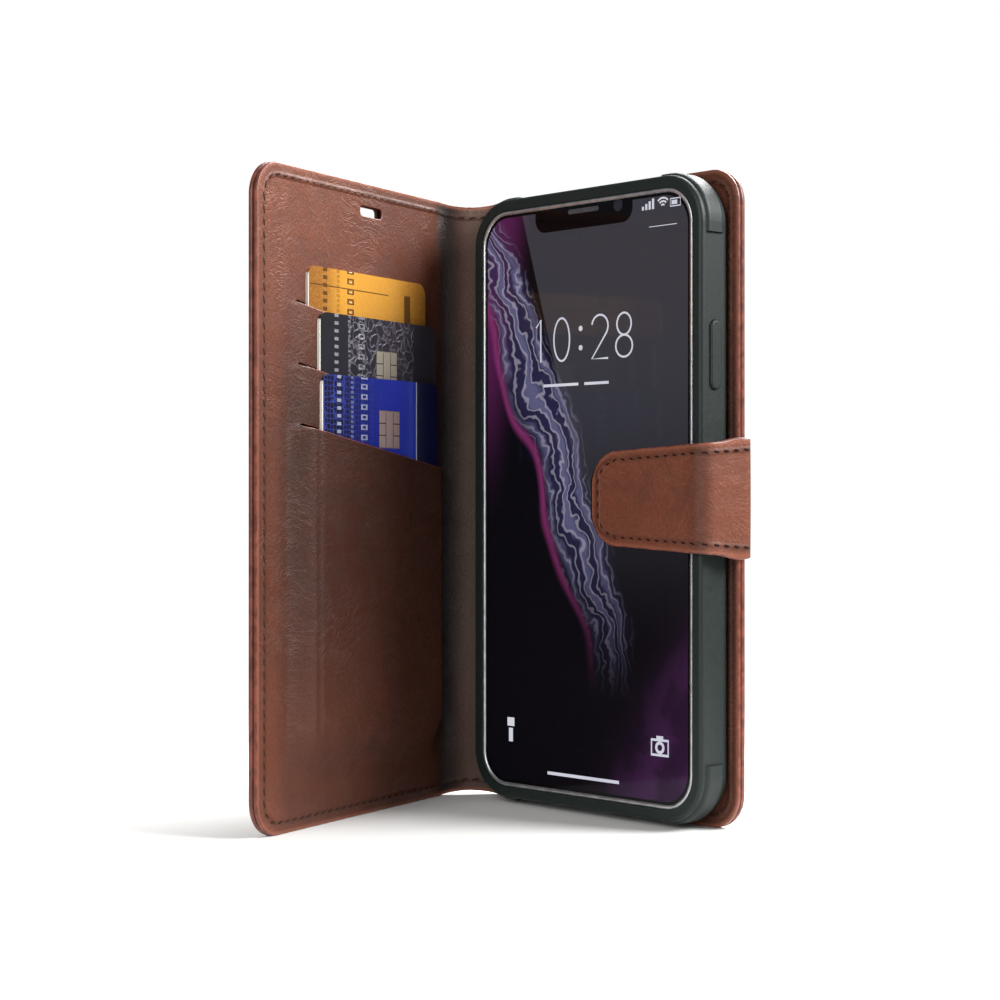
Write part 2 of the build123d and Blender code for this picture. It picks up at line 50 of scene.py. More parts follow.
# The case laid flat, in millimetres: s runs along it, z up, depth inwards from the hinge plane.
flat = {
    "height": 158.0,
    "hingeY": -0.5,
    "backFold": -41.9,
    "spineWidth": 17.5,
    "frontWidth": 83.0,
    "rightEdge": 42.1,
    "foldAngle": math.radians(53.9),
    "foldReach": 3.0,
    "corner": 8.5,
    "spineDip": 1.4,
}
flat["frontFold"] = flat["backFold"] - flat["spineWidth"]
flat["freeEdge"] = flat["frontFold"] - flat["frontWidth"]
flat["midSpine"] = flat["backFold"] - flat["spineWidth"] / 2

strap = {
    "ax": 45.1,
    "ay": -0.85,
    "turnA": math.radians(106.235),
    "sideLength": 13.59,
    "reachA": 2.3,
    "reachB": 2.6,
    "tongue": 35.45,
    "rootHalf": 14.0,
    "foldHalf": 13.0,
    "tipHalf": 11.2,
    "tipRound": 8.0,
    "halfThick": 1.1,
    "rootThick": 0.33,
    "middleGap": 0.1,
    "step": 0.45,
    "rim": 0.36,
}


# A cover point: straight runs joined by arcs, whose radius is reach over tan of half the fold's angle.
def caseMap(s, z, depth):
    turn = flat["foldAngle"]
    reach = flat["foldReach"]
    width = flat["spineWidth"]
    radius = reach / math.tan(turn / 2)
    a = flat["backFold"] - s
    start = np.array([flat["backFold"], flat["hingeY"]])
    run1 = np.array([-math.cos(turn), -math.sin(turn)])
    inward1 = np.array([math.sin(turn), -math.cos(turn)])
    run2 = np.array([-math.cos(2 * turn), -math.sin(2 * turn)])
    inward2 = np.array([math.sin(2 * turn), -math.cos(2 * turn)])
    corner = start + width * run1
    centre1 = start + np.array([reach, -radius])
    centre2 = start + (width - reach) * run1 + radius * inward1
    phi1 = turn * np.clip((a + reach) / (2 * reach), 0, 1)
    phi2 = turn + turn * np.clip((a - width + reach) / (2 * reach), 0, 1)
    out = np.empty((len(s), 3))
    for axis in (0, 1):
        swing1 = (-np.sin(phi1), np.cos(phi1))[axis]
        swing2 = (-np.sin(phi2), np.cos(phi2))[axis]
        runs = [
            s if axis == 0 else flat["hingeY"] - depth,
            centre1[axis] + (radius - depth) * swing1,
            start[axis] + a * run1[axis] + depth * inward1[axis],
            centre2[axis] + (radius - depth) * swing2,
            corner[axis] + (a - width) * run2[axis] + depth * inward2[axis],
        ]
        tests = [a <= -reach, a < reach, a <= width - reach, a < width + reach]
        out[:, axis] = np.select(tests, runs[:4], runs[4])
    out[:, 2] = z
    return out * mm


# A strap point: x along the flat strap, height outwards from its middle plane, the same way with two
# arcs.
def strapMap(x, z, height):
    turn = strap["turnA"]
    reachA, reachB, length = strap["reachA"], strap["reachB"], strap["sideLength"]
    radiusA = reachA / math.tan(turn / 2)
    radiusB = reachB / math.tan((math.pi - turn) / 2)
    a = x - strap["ax"]
    start = np.array([strap["ax"], strap["ay"]])
    run = np.array([math.cos(turn), -math.sin(turn)])
    outward = np.array([math.sin(turn), math.cos(turn)])
    corner = start + length * run
    centreA = start + np.array([-reachA, -radiusA])
    centreB = start + (length - reachB) * run - radiusB * outward
    phiA = turn * np.clip((a + reachA) / (2 * reachA), 0, 1)
    phiB = turn + (math.pi - turn) * np.clip((a - length + reachB) / (2 * reachB), 0, 1)
    out = np.empty((len(x), 3))
    for axis in (0, 1):
        swingA = (np.sin(phiA), np.cos(phiA))[axis]
        swingB = (np.sin(phiB), np.cos(phiB))[axis]
        runs = [
            x if axis == 0 else strap["ay"] + height,
            centreA[axis] + (radiusA + height) * swingA,
            start[axis] + a * run[axis] + height * outward[axis],
            centreB[axis] + (radiusB + height) * swingB,
            corner[axis] - (a - length) if axis == 0 else corner[axis] - height,
        ]
        tests = [a <= -reachA, a < reachA, a <= length - reachB, a < length + reachB]
        out[:, axis] = np.select(tests, runs[:4], runs[4])
    out[:, 2] = z
    return out * mm


# How far the top and bottom edges dip at s: a parabola between the folds.
def dipAt(s):
    across = (s - flat["midSpine"]) / (flat["spineWidth"] / 2 + 1.5)
    return flat["spineDip"] * np.clip(1 - across**2, 0, 1) ** 1.5


# Smooth step from 0 at low to 1 at high.
def smooth(value, low, high):
    t = np.clip((value - low) / (high - low), 0, 1)
    return t * t * (3 - 2 * t)


# Signed distance to a rounded box, negative inside.
def roundBox(x, z, centreX, centreZ, halfX, halfZ, radius):
    qx = np.abs(x - centreX) - halfX + radius
    qz = np.abs(z - centreZ) - halfZ + radius
    outside = np.hypot(np.maximum(qx, 0), np.maximum(qz, 0))
    return outside + np.minimum(np.maximum(qx, qz), 0) - radius


# Distance from the cover's outline, positive inside.
def edgeDistance(s, z):
    middle = (flat["freeEdge"] + flat["rightEdge"]) / 2
    half = (flat["rightEdge"] - flat["freeEdge"]) / 2
    tall = flat["height"] / 2
    lift = dipAt(s) * np.sign(z - tall)
    return -roundBox(s, z + lift, middle, tall, half, tall, flat["corner"])


# Slow swells that keep a leather panel from looking machined flat: a product of two sines plus a
# slanted one.
def swell(s, z):
    wave = np.sin(s * 0.11 + 0.7) * np.sin(z * 0.083 + 1.1)
    wave += 0.6 * np.sin(s * 0.23 - z * 0.17 + 2.0)
    return wave * 0.07


# Boundary edges are those of one face only. Each gives its corners its own outward normal, which is its
# direction turned a quarter right, and a corner takes the mean of its two at unit length.
def boundaryOf(faces, s, z):
    edges = np.concatenate([faces[:, [i, (i + 1) % 4]] for i in range(4)])
    keys = np.sort(edges, axis=1)
    index, counts = np.unique(keys, axis=0, return_index=True, return_counts=True)[1:]
    edges = edges[index[counts == 1]]
    along = np.stack([s[edges[:, 1]] - s[edges[:, 0]], z[edges[:, 1]] - z[edges[:, 0]]], axis=1)
    along /= np.maximum(np.linalg.norm(along, axis=1, keepdims=True), 1e-9)
    normal = np.stack([along[:, 1], -along[:, 0]], axis=1)
    outward = np.zeros((len(s), 2))
    np.add.at(outward, edges[:, 0], normal)
    np.add.at(outward, edges[:, 1], normal)
    length = np.linalg.norm(outward, axis=1, keepdims=True)
    outward = np.divide(outward, length, out=np.zeros_like(outward), where=length > 1e-6)
    return edges, outward


# A mesh from arrays: points in metres, the corners of all faces in one row, and where each face starts
# in it.
def meshFrom(name, points, corners, starts):
    mesh = bpy.data.meshes.new(name)
    mesh.vertices.add(len(points))
    mesh.vertices.foreach_set("co", points.ravel())
    mesh.loops.add(len(corners))
    mesh.loops.foreach_set("vertex_index", corners)
    mesh.polygons.add(len(starts))
    mesh.polygons.foreach_set("loop_start", starts)
    mesh.polygons.foreach_set("use_smooth", np.ones(len(starts), bool))
    mesh.update(calc_edges=True)
    return mesh


# Puts a mesh into the scene as an object at the origin.
def placeMesh(mesh):
    item = bpy.data.objects.new(mesh.name, mesh)
    bpy.context.scene.collection.objects.link(item)
    return item


# A closed sheet between two levels. Its rim follows a quarter circle at each side: at each angle the
# point goes back by rim times (1 - cos) and in from its level by rim times (1 - sin).
def makeSheet(name, mapTo, s, z, top, bottom, faces, rim, seamAt=None, edge=None, flip=False):
    edges, outward = boundaryOf(faces, s, z)
    if seamAt is not None:
        onSeam = np.abs(s - seamAt) < 1e-4
        outward[onSeam, 0] = 0
        size = np.abs(outward[onSeam, 1])
        outward[onSeam, 1] = np.where(size > 0.3, np.sign(outward[onSeam, 1]), 0)
        edges = edges[~(onSeam[edges[:, 0]] & onSeam[edges[:, 1]])]
    rimIds = np.unique(edges)
    place = np.full(len(s), -1)
    place[rimIds] = np.arange(len(rimIds))
    rs, rz = s[rimIds], z[rimIds]
    rTop, rBottom = top[rimIds], bottom[rimIds]
    out = outward[rimIds]
    drop = np.where(np.abs(out).sum(axis=1) > 0.1, rim, 0.0)
    drop = np.minimum(drop, 0.49 * np.abs(rTop - rBottom))
    insetS, insetZ = s.copy(), z.copy()
    insetS[rimIds] -= out[:, 0] * drop
    insetZ[rimIds] -= out[:, 1] * drop
    parts = [(insetS, insetZ, top), (insetS, insetZ, bottom)]
    side = np.sign(rTop - rBottom)
    for degrees in (60, 30, 0, 0, -30, -60):
        level = rTop if degrees > 0 or len(parts) == 4 else rBottom
        sign = 1 if degrees > 0 or len(parts) == 4 else -1
        angle = math.radians(abs(degrees))
        back = drop * (1 - math.cos(angle))
        fall = drop * (1 - math.sin(angle))
        parts.append((rs - out[:, 0] * back, rz - out[:, 1] * back, level - sign * side * fall))
    allS = np.concatenate([p[0] for p in parts])
    allZ = np.concatenate([p[1] for p in parts])
    allN = np.concatenate([p[2] for p in parts])
    count, ring = len(s), len(rimIds)
    quads = [faces, faces[:, ::-1] + count]
    a, b = place[edges[:, 0]], place[edges[:, 1]]
    rows = [rimIds] + [2 * count + i * ring + np.arange(ring) for i in range(6)] + [rimIds + count]
    for upper, lower in zip(rows[:-1], rows[1:]):
        quads.append(np.stack([upper[b], upper[a], lower[a], lower[b]], axis=1))
    quads = np.concatenate(quads)
    if flip:
        quads = quads[:, ::-1]
    mesh = meshFrom(name, mapTo(allS, allZ, allN), quads.ravel(), np.arange(0, quads.size, 4))
    material = np.zeros(len(quads), np.int32)
    material[2 * len(faces) :] = 1
    mesh.polygons.foreach_set("material_index", material)
    layer = mesh.uv_layers.new(name="Flat")
    uv = np.stack([allS[quads.ravel()], allZ[quads.ravel()]], axis=1) * mm
    layer.data.foreach_set("uv", uv.ravel())
    if edge is not None:
        field = mesh.attributes.new("edge", "FLOAT", "POINT")
        field.data.foreach_set("value", edge(allS, allZ).astype(np.float32))
    return placeMesh(mesh)


# Drops the corners that no face uses, and renumbers the faces.
def dropUnused(faces, *fields):
    used = np.unique(faces)
    number = np.full(len(fields[0]), -1)
    number[used] = np.arange(len(used))
    return (number[faces], *(field[used] for field in fields))


# Moves the rim's corners that are near the outline onto it: each goes back by its distance times its
# slope.
def snapRim(s, z, faces, distance, near, passes, step=0.01):
    onRim = np.zeros(len(s), bool)
    onRim[np.unique(boundaryOf(faces, s, z)[0])] = True
    for _ in range(passes):
        gap = distance(s, z)
        slopeS = (distance(s + step, z) - distance(s - step, z)) / (2 * step)
        slopeZ = (distance(s, z + step) - distance(s, z - step)) / (2 * step)
        move = onRim & (np.abs(gap) < near)
        s = np.where(move, s - gap * slopeS, s)
        z = np.where(move, z - gap * slopeZ, z)
    return s, z


# Keeps the faces whose middle is inside the outline.
def cutToOutline(faces, s, z, distance):
    return faces[distance(s[faces].mean(axis=1), z[faces].mean(axis=1)) > 0]


# Rows and columns of a plain grid, and its quads.
def plainGrid(columns, rows):
    s, z = np.meshgrid(columns, rows)
    wide, tall = len(columns), len(rows)
    ids = np.arange(wide * tall).reshape(tall, wide)
    faces = np.stack([ids[:-1, :-1], ids[:-1, 1:], ids[1:, 1:], ids[1:, :-1]], axis=-1)
    return s.ravel(), z.ravel(), faces.reshape(-1, 4)


pocket = {
    "left": 15.5,
    "right": 78.4,
    "slitHeights": (126.0, 111.0, 96.5),
    "slope": math.tan(math.radians(8.5)),
    "gap": 0.6,
    "levels": (1.5, 2.81, 4.12, 5.58),
    "step": 0.8,
    "rise": (11.2, 20.2),
    "fall": (76.6, 80.4),
    "foot": (10.5, 24.5),
    "thick": 0.44,
    "edgeThick": 0.6,
    "hole": 0.5,
    "press": 0.5,
    "pressAt": 20.2,
    "pressWide": 0.8,
    "pressFoot": (16, 26),
}

slotInFront = {"centre": 48.8, "height": 151.0, "long": 5.0, "tall": 1.25}

# Levels of the cover's leathers in millimetres, the lining above the board and the skin below it.
layers = {
    "step": 0.9,
    "liningTop": 1.5,
    "liningUnder": 0.85,
    "skinTop": -1.0,
    "skinUnder": -0.1,
    "liningRim": 0.3,
    "skinRim": 0.38,
}


# Distance into the front cover's material: the nearer of its outline and the speaker slot.
def frontDistance(s, z):
    place = slotInFront
    hole = roundBox(
        s - flat["freeEdge"], z, place["centre"], place["height"],
        place["long"], place["tall"], place["tall"] * 0.8,
    )
    return np.minimum(edgeDistance(s, z), hole)


# Height of each slit at u: level outside the pocket, falling by the slope times the way along it.
def slitLine(u, index):
    inside = np.clip(u, pocket["left"], pocket["right"]) - pocket["left"]
    return pocket["slitHeights"][index] - pocket["slope"] * inside


# Columns of the front lining: even steps up to the pockets and across them, then to the middle of the
# spine.
def liningColumns():
    step = pocket["step"]
    end = flat["frontWidth"] + flat["spineWidth"] / 2
    runs = [
        np.arange(0, pocket["left"], step),
        np.arange(pocket["left"], pocket["right"], step),
        np.linspace(pocket["right"], end, 20),
    ]
    return np.unique(np.round(np.concatenate(runs), 5))


# The lining's height: each pocket a level higher, eased in across it and up from its foot, less a
# pressed line.
def liningLevel(u, z, index):
    base = pocket["levels"][0]
    along = smooth(u, *pocket["rise"]) * (1 - smooth(u, *pocket["fall"]))
    level = np.broadcast_to((pocket["levels"][index] - base) * along, z.shape).copy()
    if index == 3:
        level *= smooth(z, *pocket["foot"])
        line = np.exp(-(((u - pocket["pressAt"]) / pocket["pressWide"]) ** 2))
        level -= pocket["press"] * line * smooth(z, *pocket["pressFoot"])
    return level + base


# The front lining in four bands between its slits. Neighbouring bands share corners outside the pockets
# and part inside them, by a gap with elliptical ends and a small punched hole, exp(-distance squared),
# at the left.
def buildFrontLining():
    u = liningColumns()
    slits = [slitLine(u, index) for index in range(3)]
    lines = [np.full(len(u), flat["height"]), *slits, np.zeros(len(u))]
    cutHere = (u > pocket["left"] + 0.1) & (u < pocket["right"] - 0.1)
    fromEnd = np.clip(np.minimum(u - pocket["left"], pocket["right"] - u) / 1.6, 0, 1)
    bite = pocket["gap"] / 2 * np.sqrt(1 - (1 - fromEnd) ** 2)
    hole = pocket["hole"] * np.exp(-((u - pocket["left"] - 1.0) ** 2))
    total, lastRow, bands = 0, None, []
    for index, (high, low) in enumerate(zip(lines[:-1], lines[1:])):
        rows = max(3, int(round(float(np.max(high - low)) / pocket["step"])))
        share = np.linspace(0, 1, rows + 1)[:, None]
        highCut = high - (bite * cutHere if index > 0 else 0)
        lowCut = low + ((bite + hole * 0.4) * cutHere if index < 3 else 0)
        z = highCut * (1 - share) + lowCut * share
        s = np.broadcast_to(u, z.shape) + flat["freeEdge"]
        ids = np.arange(total, total + z.size).reshape(z.shape)
        total += z.size
        if lastRow is not None:
            ids[0] = np.where(cutHere, ids[0], lastRow)
        lastRow = ids[-1]
        quads = np.stack([ids[1:, :-1], ids[1:, 1:], ids[:-1, 1:], ids[:-1, :-1]], axis=-1)
        bands.append((quads.reshape(-1, 4), s.ravel(), z.ravel(), liningLevel(u, z, index).ravel()))
    faces, s, z, top = dropUnused(*(np.concatenate(field) for field in zip(*bands)))
    z = z - dipAt(s) * (z / flat["height"] * 2 - 1)
    faces, s, z, top = dropUnused(cutToOutline(faces, s, z, frontDistance), s, z, top)
    s, z = snapRim(s, z, faces, frontDistance, 1.2, 1)
    inside = edgeDistance(s, z)
    overCards = np.clip((top - pocket["levels"][0]) / 0.5, 0, 1)
    top = top + swell(s, z) * smooth(inside, 3, 12) * (1 - 0.7 * overCards) + 0.04 * overCards
    thick = pocket["thick"] + pocket["edgeThick"] * (1 - smooth(inside, 0.8, 2.2))
    return makeSheet(
        "liningFront", caseMap, s, z, top, top - thick, faces, layers["liningRim"],
        seamAt=flat["midSpine"], edge=edgeDistance, flip=True,
    )


# A cover layer from one s to another: an even grid cut to its outline and windows. The lining side lies
# flat and the skin side swells. Near the edge the layer is 0.3 thicker, to meet the other past the board.
def buildCover(name, left, right, top, bottom, distance, rim, flip):
    step = layers["step"]
    columns = np.linspace(left, right, int(round((right - left) / step)) + 1)
    rows = np.linspace(0, flat["height"], int(round(flat["height"] / step)) + 1)
    s, z, faces = plainGrid(columns, rows)
    z = z - dipAt(s) * (z / flat["height"] * 2 - 1)
    faces, s, z = dropUnused(cutToOutline(faces, s, z, distance), s, z)
    s, z = snapRim(s, z, faces, distance, 1.4, 2)
    inside = edgeDistance(s, z)
    wave = 0 if flip else swell(s, z) * smooth(inside, 3, 12)
    towards = math.copysign(1.0, bottom - top)
    level = np.full(len(s), top) + wave
    under = bottom + 0.3 * towards * (1 - smooth(inside, 0.8, 2.2))
    return makeSheet(
        name, caseMap, s, z, level, under, faces, rim,
        seamAt=flat["midSpine"], edge=edgeDistance, flip=flip,
    )


cameraWindow = {"x": 21.35, "z": 126.65, "halfWide": 10.0, "halfTall": 20.8}


# Distance into the back cover's material: the nearer of its outline and the camera window.
def backDistance(s, z):
    place = cameraWindow
    hole = roundBox(s, z, place["x"], place["z"], place["halfWide"], place["halfTall"], place["halfWide"])
    return np.minimum(edgeDistance(s, z), hole)


liningFront = buildFrontLining()
liningBack = buildCover(
    "liningBack", flat["midSpine"], flat["rightEdge"],
    layers["liningTop"], layers["liningUnder"], backDistance, layers["liningRim"], True,
)
skinFront = buildCover(
    "skinFront", flat["freeEdge"], flat["midSpine"],
    layers["skinTop"], layers["skinUnder"], frontDistance, layers["skinRim"], False,
)
skinBack = buildCover(
    "skinBack", flat["midSpine"], flat["rightEdge"],
    layers["skinTop"], layers["skinUnder"], backDistance, layers["skinRim"], False,
)
print("cover leathers made")


# Half width of the strap at x: straight tapers, then a round tip.
def strapHalf(x):
    a = x - strap["ax"]
    length = strap["sideLength"]
    end = length + strap["tongue"]
    side = strap["rootHalf"] + (strap["foldHalf"] - strap["rootHalf"]) * np.clip(a / length, 0, 1)
    front = np.clip((a - length) / strap["tongue"], 0, 1) * (strap["tipHalf"] - strap["foldHalf"])
    into = np.clip((a - end + strap["tipRound"]) / strap["tipRound"], 0, 1)
    return side + front - strap["tipRound"] * (1 - np.sqrt(1 - into**2))


# Columns of the strap: even steps, then sines of even angles round the tip.
def strapColumns(start, stop):
    end = strap["ax"] + strap["sideLength"] + strap["tongue"]
    tip = end - strap["tipRound"]
    x = np.arange(start, min(stop, tip), strap["step"])
    if stop < tip:
        return np.append(x, stop)
    angles = np.linspace(0, math.pi / 2, 22)
    return np.concatenate([x, tip + strap["tipRound"] * np.sin(angles)])


# One layer of the strap over a grid of x and v, v from -1 to 1 across it. Its thickness eases in from
# the root, and it cups by v squared where it turns round the side.
def buildStrap(name, start, stop, outer):
    s, v, faces = plainGrid(strapColumns(start, stop), np.linspace(-1, 1, 41))
    a = s - strap["ax"]
    belt = 1 + 0.05 * np.exp(-(((a - 4) / 3.0) ** 2)) * np.abs(v)
    z = flat["height"] / 2 + v * strapHalf(s) * belt
    thick = strap["rootThick"] + (strap["halfThick"] - strap["rootThick"]) * smooth(a, -3.0, 1.0)
    cup = 0.5 * v**2 * np.exp(-(((a - 5.5) / 4.0) ** 2))
    side = 1 if outer else -1
    seam = stop if stop < strap["ax"] + strap["sideLength"] + 5 else start

    # Distance from the strap's edge, the nearer of its sides and its tip.
    def edge(xs, zs):
        sideways = strapHalf(xs) - np.abs(zs - flat["height"] / 2)
        return np.minimum(sideways, strap["ax"] + strap["sideLength"] + strap["tongue"] - xs)

    return makeSheet(
        name, strapMap, s, z, side * thick - cup, side * strap["middleGap"] - cup, faces, strap["rim"],
        seamAt=seam, edge=edge, flip=not outer,
    )


strapSplit = strap["ax"] + strap["sideLength"] / 2
strapParts = {
    "strapRootSkin": buildStrap("strapRootSkin", 39.0, strapSplit, True),
    "strapRootLining": buildStrap("strapRootLining", 39.0, strapSplit, False),
    "tongueSkin": buildStrap("tongueSkin", strapSplit, 200.0, True),
    "tongueLining": buildStrap("tongueLining", strapSplit, 200.0, False),
}
print("strap made")


stitch = {
    "pitch": 3.0,
    "long": 2.0,
    "wide": 0.6,
    "tall": 0.13,
    "slant": 11.0,
    "inset": 2.9,
    "inner": 1.5,
    "innerUnderCard": 1.41,
    "outer": -0.98,
    "clearOfFold": 1.7,
    "rings": (-0.92, -0.5, 0.0, 0.5, 0.92),
    "sides": 6,
}
strapStitch = {"pitch": 2.75, "long": 1.5, "inset": 2.3, "level": 1.05}


# Threads laid on a surface map, each a spindle of radius sqrt(1 - t to the 4th) along its length t,
# turned to its line and slanted. All are one array, and the spindle's faces are repeated by adding its
# corner count.
def makeStitches(name, mapTo, s, z, angle, level, body, long):
    rings, sides = np.array(stitch["rings"]), stitch["sides"]
    along = np.repeat(rings, sides)
    radius = np.sqrt(1 - along**4)
    turn = np.tile(np.arange(sides) * 2 * math.pi / sides, len(rings))
    lx = along * long / 2
    ly = radius * np.cos(turn) * stitch["wide"] / 2
    lz = radius * np.sin(turn) * stitch["tall"]
    lean = angle + math.radians(stitch["slant"])
    ps = s[:, None] + lx * np.cos(lean)[:, None] - ly * np.sin(lean)[:, None]
    pz = z[:, None] + lx * np.sin(lean)[:, None] + ly * np.cos(lean)[:, None]
    pn = level + lz + np.zeros_like(ps)
    ids = np.arange(along.size).reshape(-1, sides)
    after = np.roll(ids, -1, axis=1)
    quads = np.stack([ids[:-1], after[:-1], after[1:], ids[1:]], axis=-1).ravel()
    pattern = np.concatenate([quads, np.roll(ids[0, ::-1], 1), ids[-1]])
    begins = np.append(np.arange(0, quads.size + 1, 4), quads.size + sides)
    number = np.arange(len(s))[:, None]
    corners, starts = number * ids.size + pattern, number * pattern.size + begins
    mesh = meshFrom(name, mapTo(ps.ravel(), pz.ravel(), pn.ravel()), corners.ravel(), starts.ravel())
    item = placeMesh(mesh)
    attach(item, body)
    return item


# Points at even lengths along a polyline, with the angle from a point just behind to one just ahead.
def pace(xs, zs, pitch):
    far = np.concatenate([[0], np.cumsum(np.hypot(np.diff(xs), np.diff(zs)))])
    spots = np.linspace(0, far[-1], int(far[-1] / pitch) + 1)
    near = 0.2
    ahead, behind = np.minimum(spots + near, far[-1]), np.maximum(spots - near, 0)
    rise = np.interp(ahead, far, zs) - np.interp(behind, far, zs)
    run = np.interp(ahead, far, xs) - np.interp(behind, far, xs)
    return np.interp(spots, far, xs), np.interp(spots, far, zs), np.arctan2(rise, run)


# The seam line round the flat case, inset from its edge: four sides that follow the dip, and quarter
# circles.
def seamLine():
    inset = stitch["inset"]
    r = flat["corner"] - inset
    left, right = flat["freeEdge"] + inset, flat["rightEdge"] - inset
    low, high = inset, flat["height"] - inset
    quarter = np.linspace(0, math.pi / 2, 16)
    topS = np.linspace(left + r, right - r, 200)
    bottomS = topS[::-1]
    parts = [
        (topS, high - dipAt(topS)),
        (right - r + r * np.sin(quarter), high - r + r * np.cos(quarter)),
        (np.full(60, right), np.linspace(high - r, low + r, 60)),
        (right - r + r * np.cos(quarter), low + r - r * np.sin(quarter)),
        (bottomS, low + dipAt(bottomS)),
        (left + r - r * np.sin(quarter), low + r - r * np.cos(quarter)),
        (np.full(60, left), np.linspace(low + r, high - r, 60)),
        (left + r - r * np.cos(quarter), high - r + r * np.sin(quarter)),
    ]
    return np.concatenate([p[0] for p in parts]), np.concatenate([p[1] for p in parts])


stitchPieces = []
lineS, lineZ = seamLine()
sewS, sewZ, sewAngle = pace(lineS, lineZ, stitch["pitch"])
clear = stitch["clearOfFold"]
groups = {
    "front_cover": sewS < flat["frontFold"] - clear,
    "spine": (sewS > flat["frontFold"] + clear) & (sewS < flat["backFold"] - clear),
    "back_cover": sewS > flat["backFold"] + clear,
}
underCard = (sewS > flat["freeEdge"] + 17) & (sewS < flat["freeEdge"] + 77) & (sewZ > 100)
for body, chosen in groups.items():
    inner = np.where(underCard, stitch["innerUnderCard"], stitch["inner"])[chosen][:, None]
    for side, level in (("Inner", inner), ("Outer", stitch["outer"])):
        piece = makeStitches(
            "stitches" + body.replace("_cover", "").capitalize() + side, caseMap,
            sewS[chosen], sewZ[chosen], sewAngle[chosen], level, body, stitch["long"],
        )
        stitchPieces.append(piece)

# Strap stitches run along both sides and round the tip.
tipEnd = strap["ax"] + strap["sideLength"] + strap["tongue"]
runX = np.linspace(strap["ax"] + 2.0, tipEnd - strap["tipRound"], 160)
tipTurn = np.linspace(0, math.pi, 40)
tipR = strap["tipRound"] - strapStitch["inset"]
tipX = tipEnd - strap["tipRound"] + tipR * np.sin(tipTurn)
spread = strap["tipHalf"] - strap["tipRound"]
tipOff = np.cos(tipTurn) * tipR + np.sign(np.cos(tipTurn)) * spread
sideZ = strapHalf(runX) - strapStitch["inset"]
middleZ = flat["height"] / 2
strapX, strapZ, strapAngle = pace(
    np.concatenate([runX, tipX, runX[::-1]]),
    middleZ + np.concatenate([sideZ, tipOff, -sideZ[::-1]]),
    strapStitch["pitch"],
)
foldX = strap["ax"] + strap["sideLength"]
for tag, body, chosen in (
    ("Side", "strap_side", strapX < foldX),
    ("Tongue", "strap_tongue", strapX >= foldX),
):
    for side, level in (("Outer", strapStitch["level"]), ("Inner", -strapStitch["level"])):
        piece = makeStitches(
            "stitchesStrap" + tag + side, strapMap,
            strapX[chosen], strapZ[chosen], strapAngle[chosen], level, body, strapStitch["long"],
        )
        stitchPieces.append(piece)
print("stitches made:", len(sewS) * 2 + len(strapX) * 2)


# sRGB hex to a linear colour.
def colour(text):
    values = [int(text[i : i + 2], 16) / 255 for i in (0, 2, 4)]
    linear = [v / 12.92 if v <= 0.04045 else ((v + 0.055) / 1.055) ** 2.4 for v in values]
    return (*linear, 1.0)


# Adds a node, sets its settings, and fills its inputs with values or links.
def addNode(tree, kind, inputs=None, **settings):
    item = tree.nodes.new(kind)
    for key, value in settings.items():
        setattr(item, key, value)
    for key, value in (inputs or {}).items():
        if isinstance(value, bpy.types.NodeSocket):
            tree.links.new(value, item.inputs[key])
        else:
            item.inputs[key].default_value = value
    return item


# A maths node's result.
def maths(tree, operation, a, b=0.0, c=0.0, clamp=False):
    item = addNode(tree, "ShaderNodeMath", {0: a, 1: b, 2: c}, operation=operation, use_clamp=clamp)
    return item.outputs[0]


# A mix of two colours: a where the factor is 0, b where it is 1.
def mixColour(tree, factor, a, b):
    return addNode(tree, "ShaderNodeMix", {0: factor, 6: a, 7: b}, data_type="RGBA").outputs[2]


# A value moved from one range to another, eased at both ends.
def remap(tree, value, low, high, toLow=0.0, toHigh=1.0):
    item = addNode(
        tree, "ShaderNodeMapRange",
        {"Value": value, "From Min": low, "From Max": high, "To Min": toLow, "To Max": toHigh},
        interpolation_type="SMOOTHSTEP",
    )
    return item.outputs[0]


# Noise on coordinates in millimetres: its scale is 1 over the size of a feature.
def noise(tree, vector, size, detail=3.0, rough=0.5):
    inputs = {"Vector": vector, "Scale": 1 / size, "Detail": detail, "Roughness": rough}
    return addNode(tree, "ShaderNodeTexNoise", inputs).outputs[0]


# Coordinates pushed about by coloured noise times a reach in millimetres.
def warped(tree, place, size, detail, reach, rough=0.5):
    inputs = {"Vector": place, "Scale": 1 / size, "Detail": detail, "Roughness": rough}
    push = addNode(tree, "ShaderNodeTexNoise", inputs).outputs[1]
    item = addNode(tree, "ShaderNodeVectorMath", {0: push, 1: reach, 2: place}, operation="MULTIPLY_ADD")
    return item.outputs[0]


# Bump from a height in millimetres, joined to the shader's normal.
def addRelief(tree, shader, height, strength=0.9, distance=mm):
    bump = addNode(tree, "ShaderNodeBump", {"Height": height, "Strength": strength, "Distance": distance})
    tree.links.new(bump.outputs[0], shader.inputs["Normal"])


# A new material with its tree and its principled shader.
def newMaterial(name):
    item = bpy.data.materials.new(name)
    item.use_nodes = True
    return item, item.node_tree, item.node_tree.nodes["Principled BSDF"]


# Coordinates in millimetres, from the flat pattern or from the object.
def millimetres(tree, kind):
    if kind == "flat":
        source = addNode(tree, "ShaderNodeUVMap", uv_map="Flat").outputs[0]
    else:
        source = addNode(tree, "ShaderNodeTexCoord").outputs["Object"]
    item = addNode(tree, "ShaderNodeVectorMath", {0: source, 1: (1000, 1000, 1000)}, operation="MULTIPLY")
    return item.outputs[0]


leather = {
    "light": colour("7B4430"),
    "dark": colour("543022"),
    "deep": colour("1C0F0B"),
    "crease": colour("A2624A"),
    # The spine tone is a painted grey sheen along the spine.
    "spine": colour("5C4D45"),
    # The valley tone is a painted shade for the crease of the front fold.
    "valleyShade": colour("110C0A"),
    "roughness": 0.5,
}


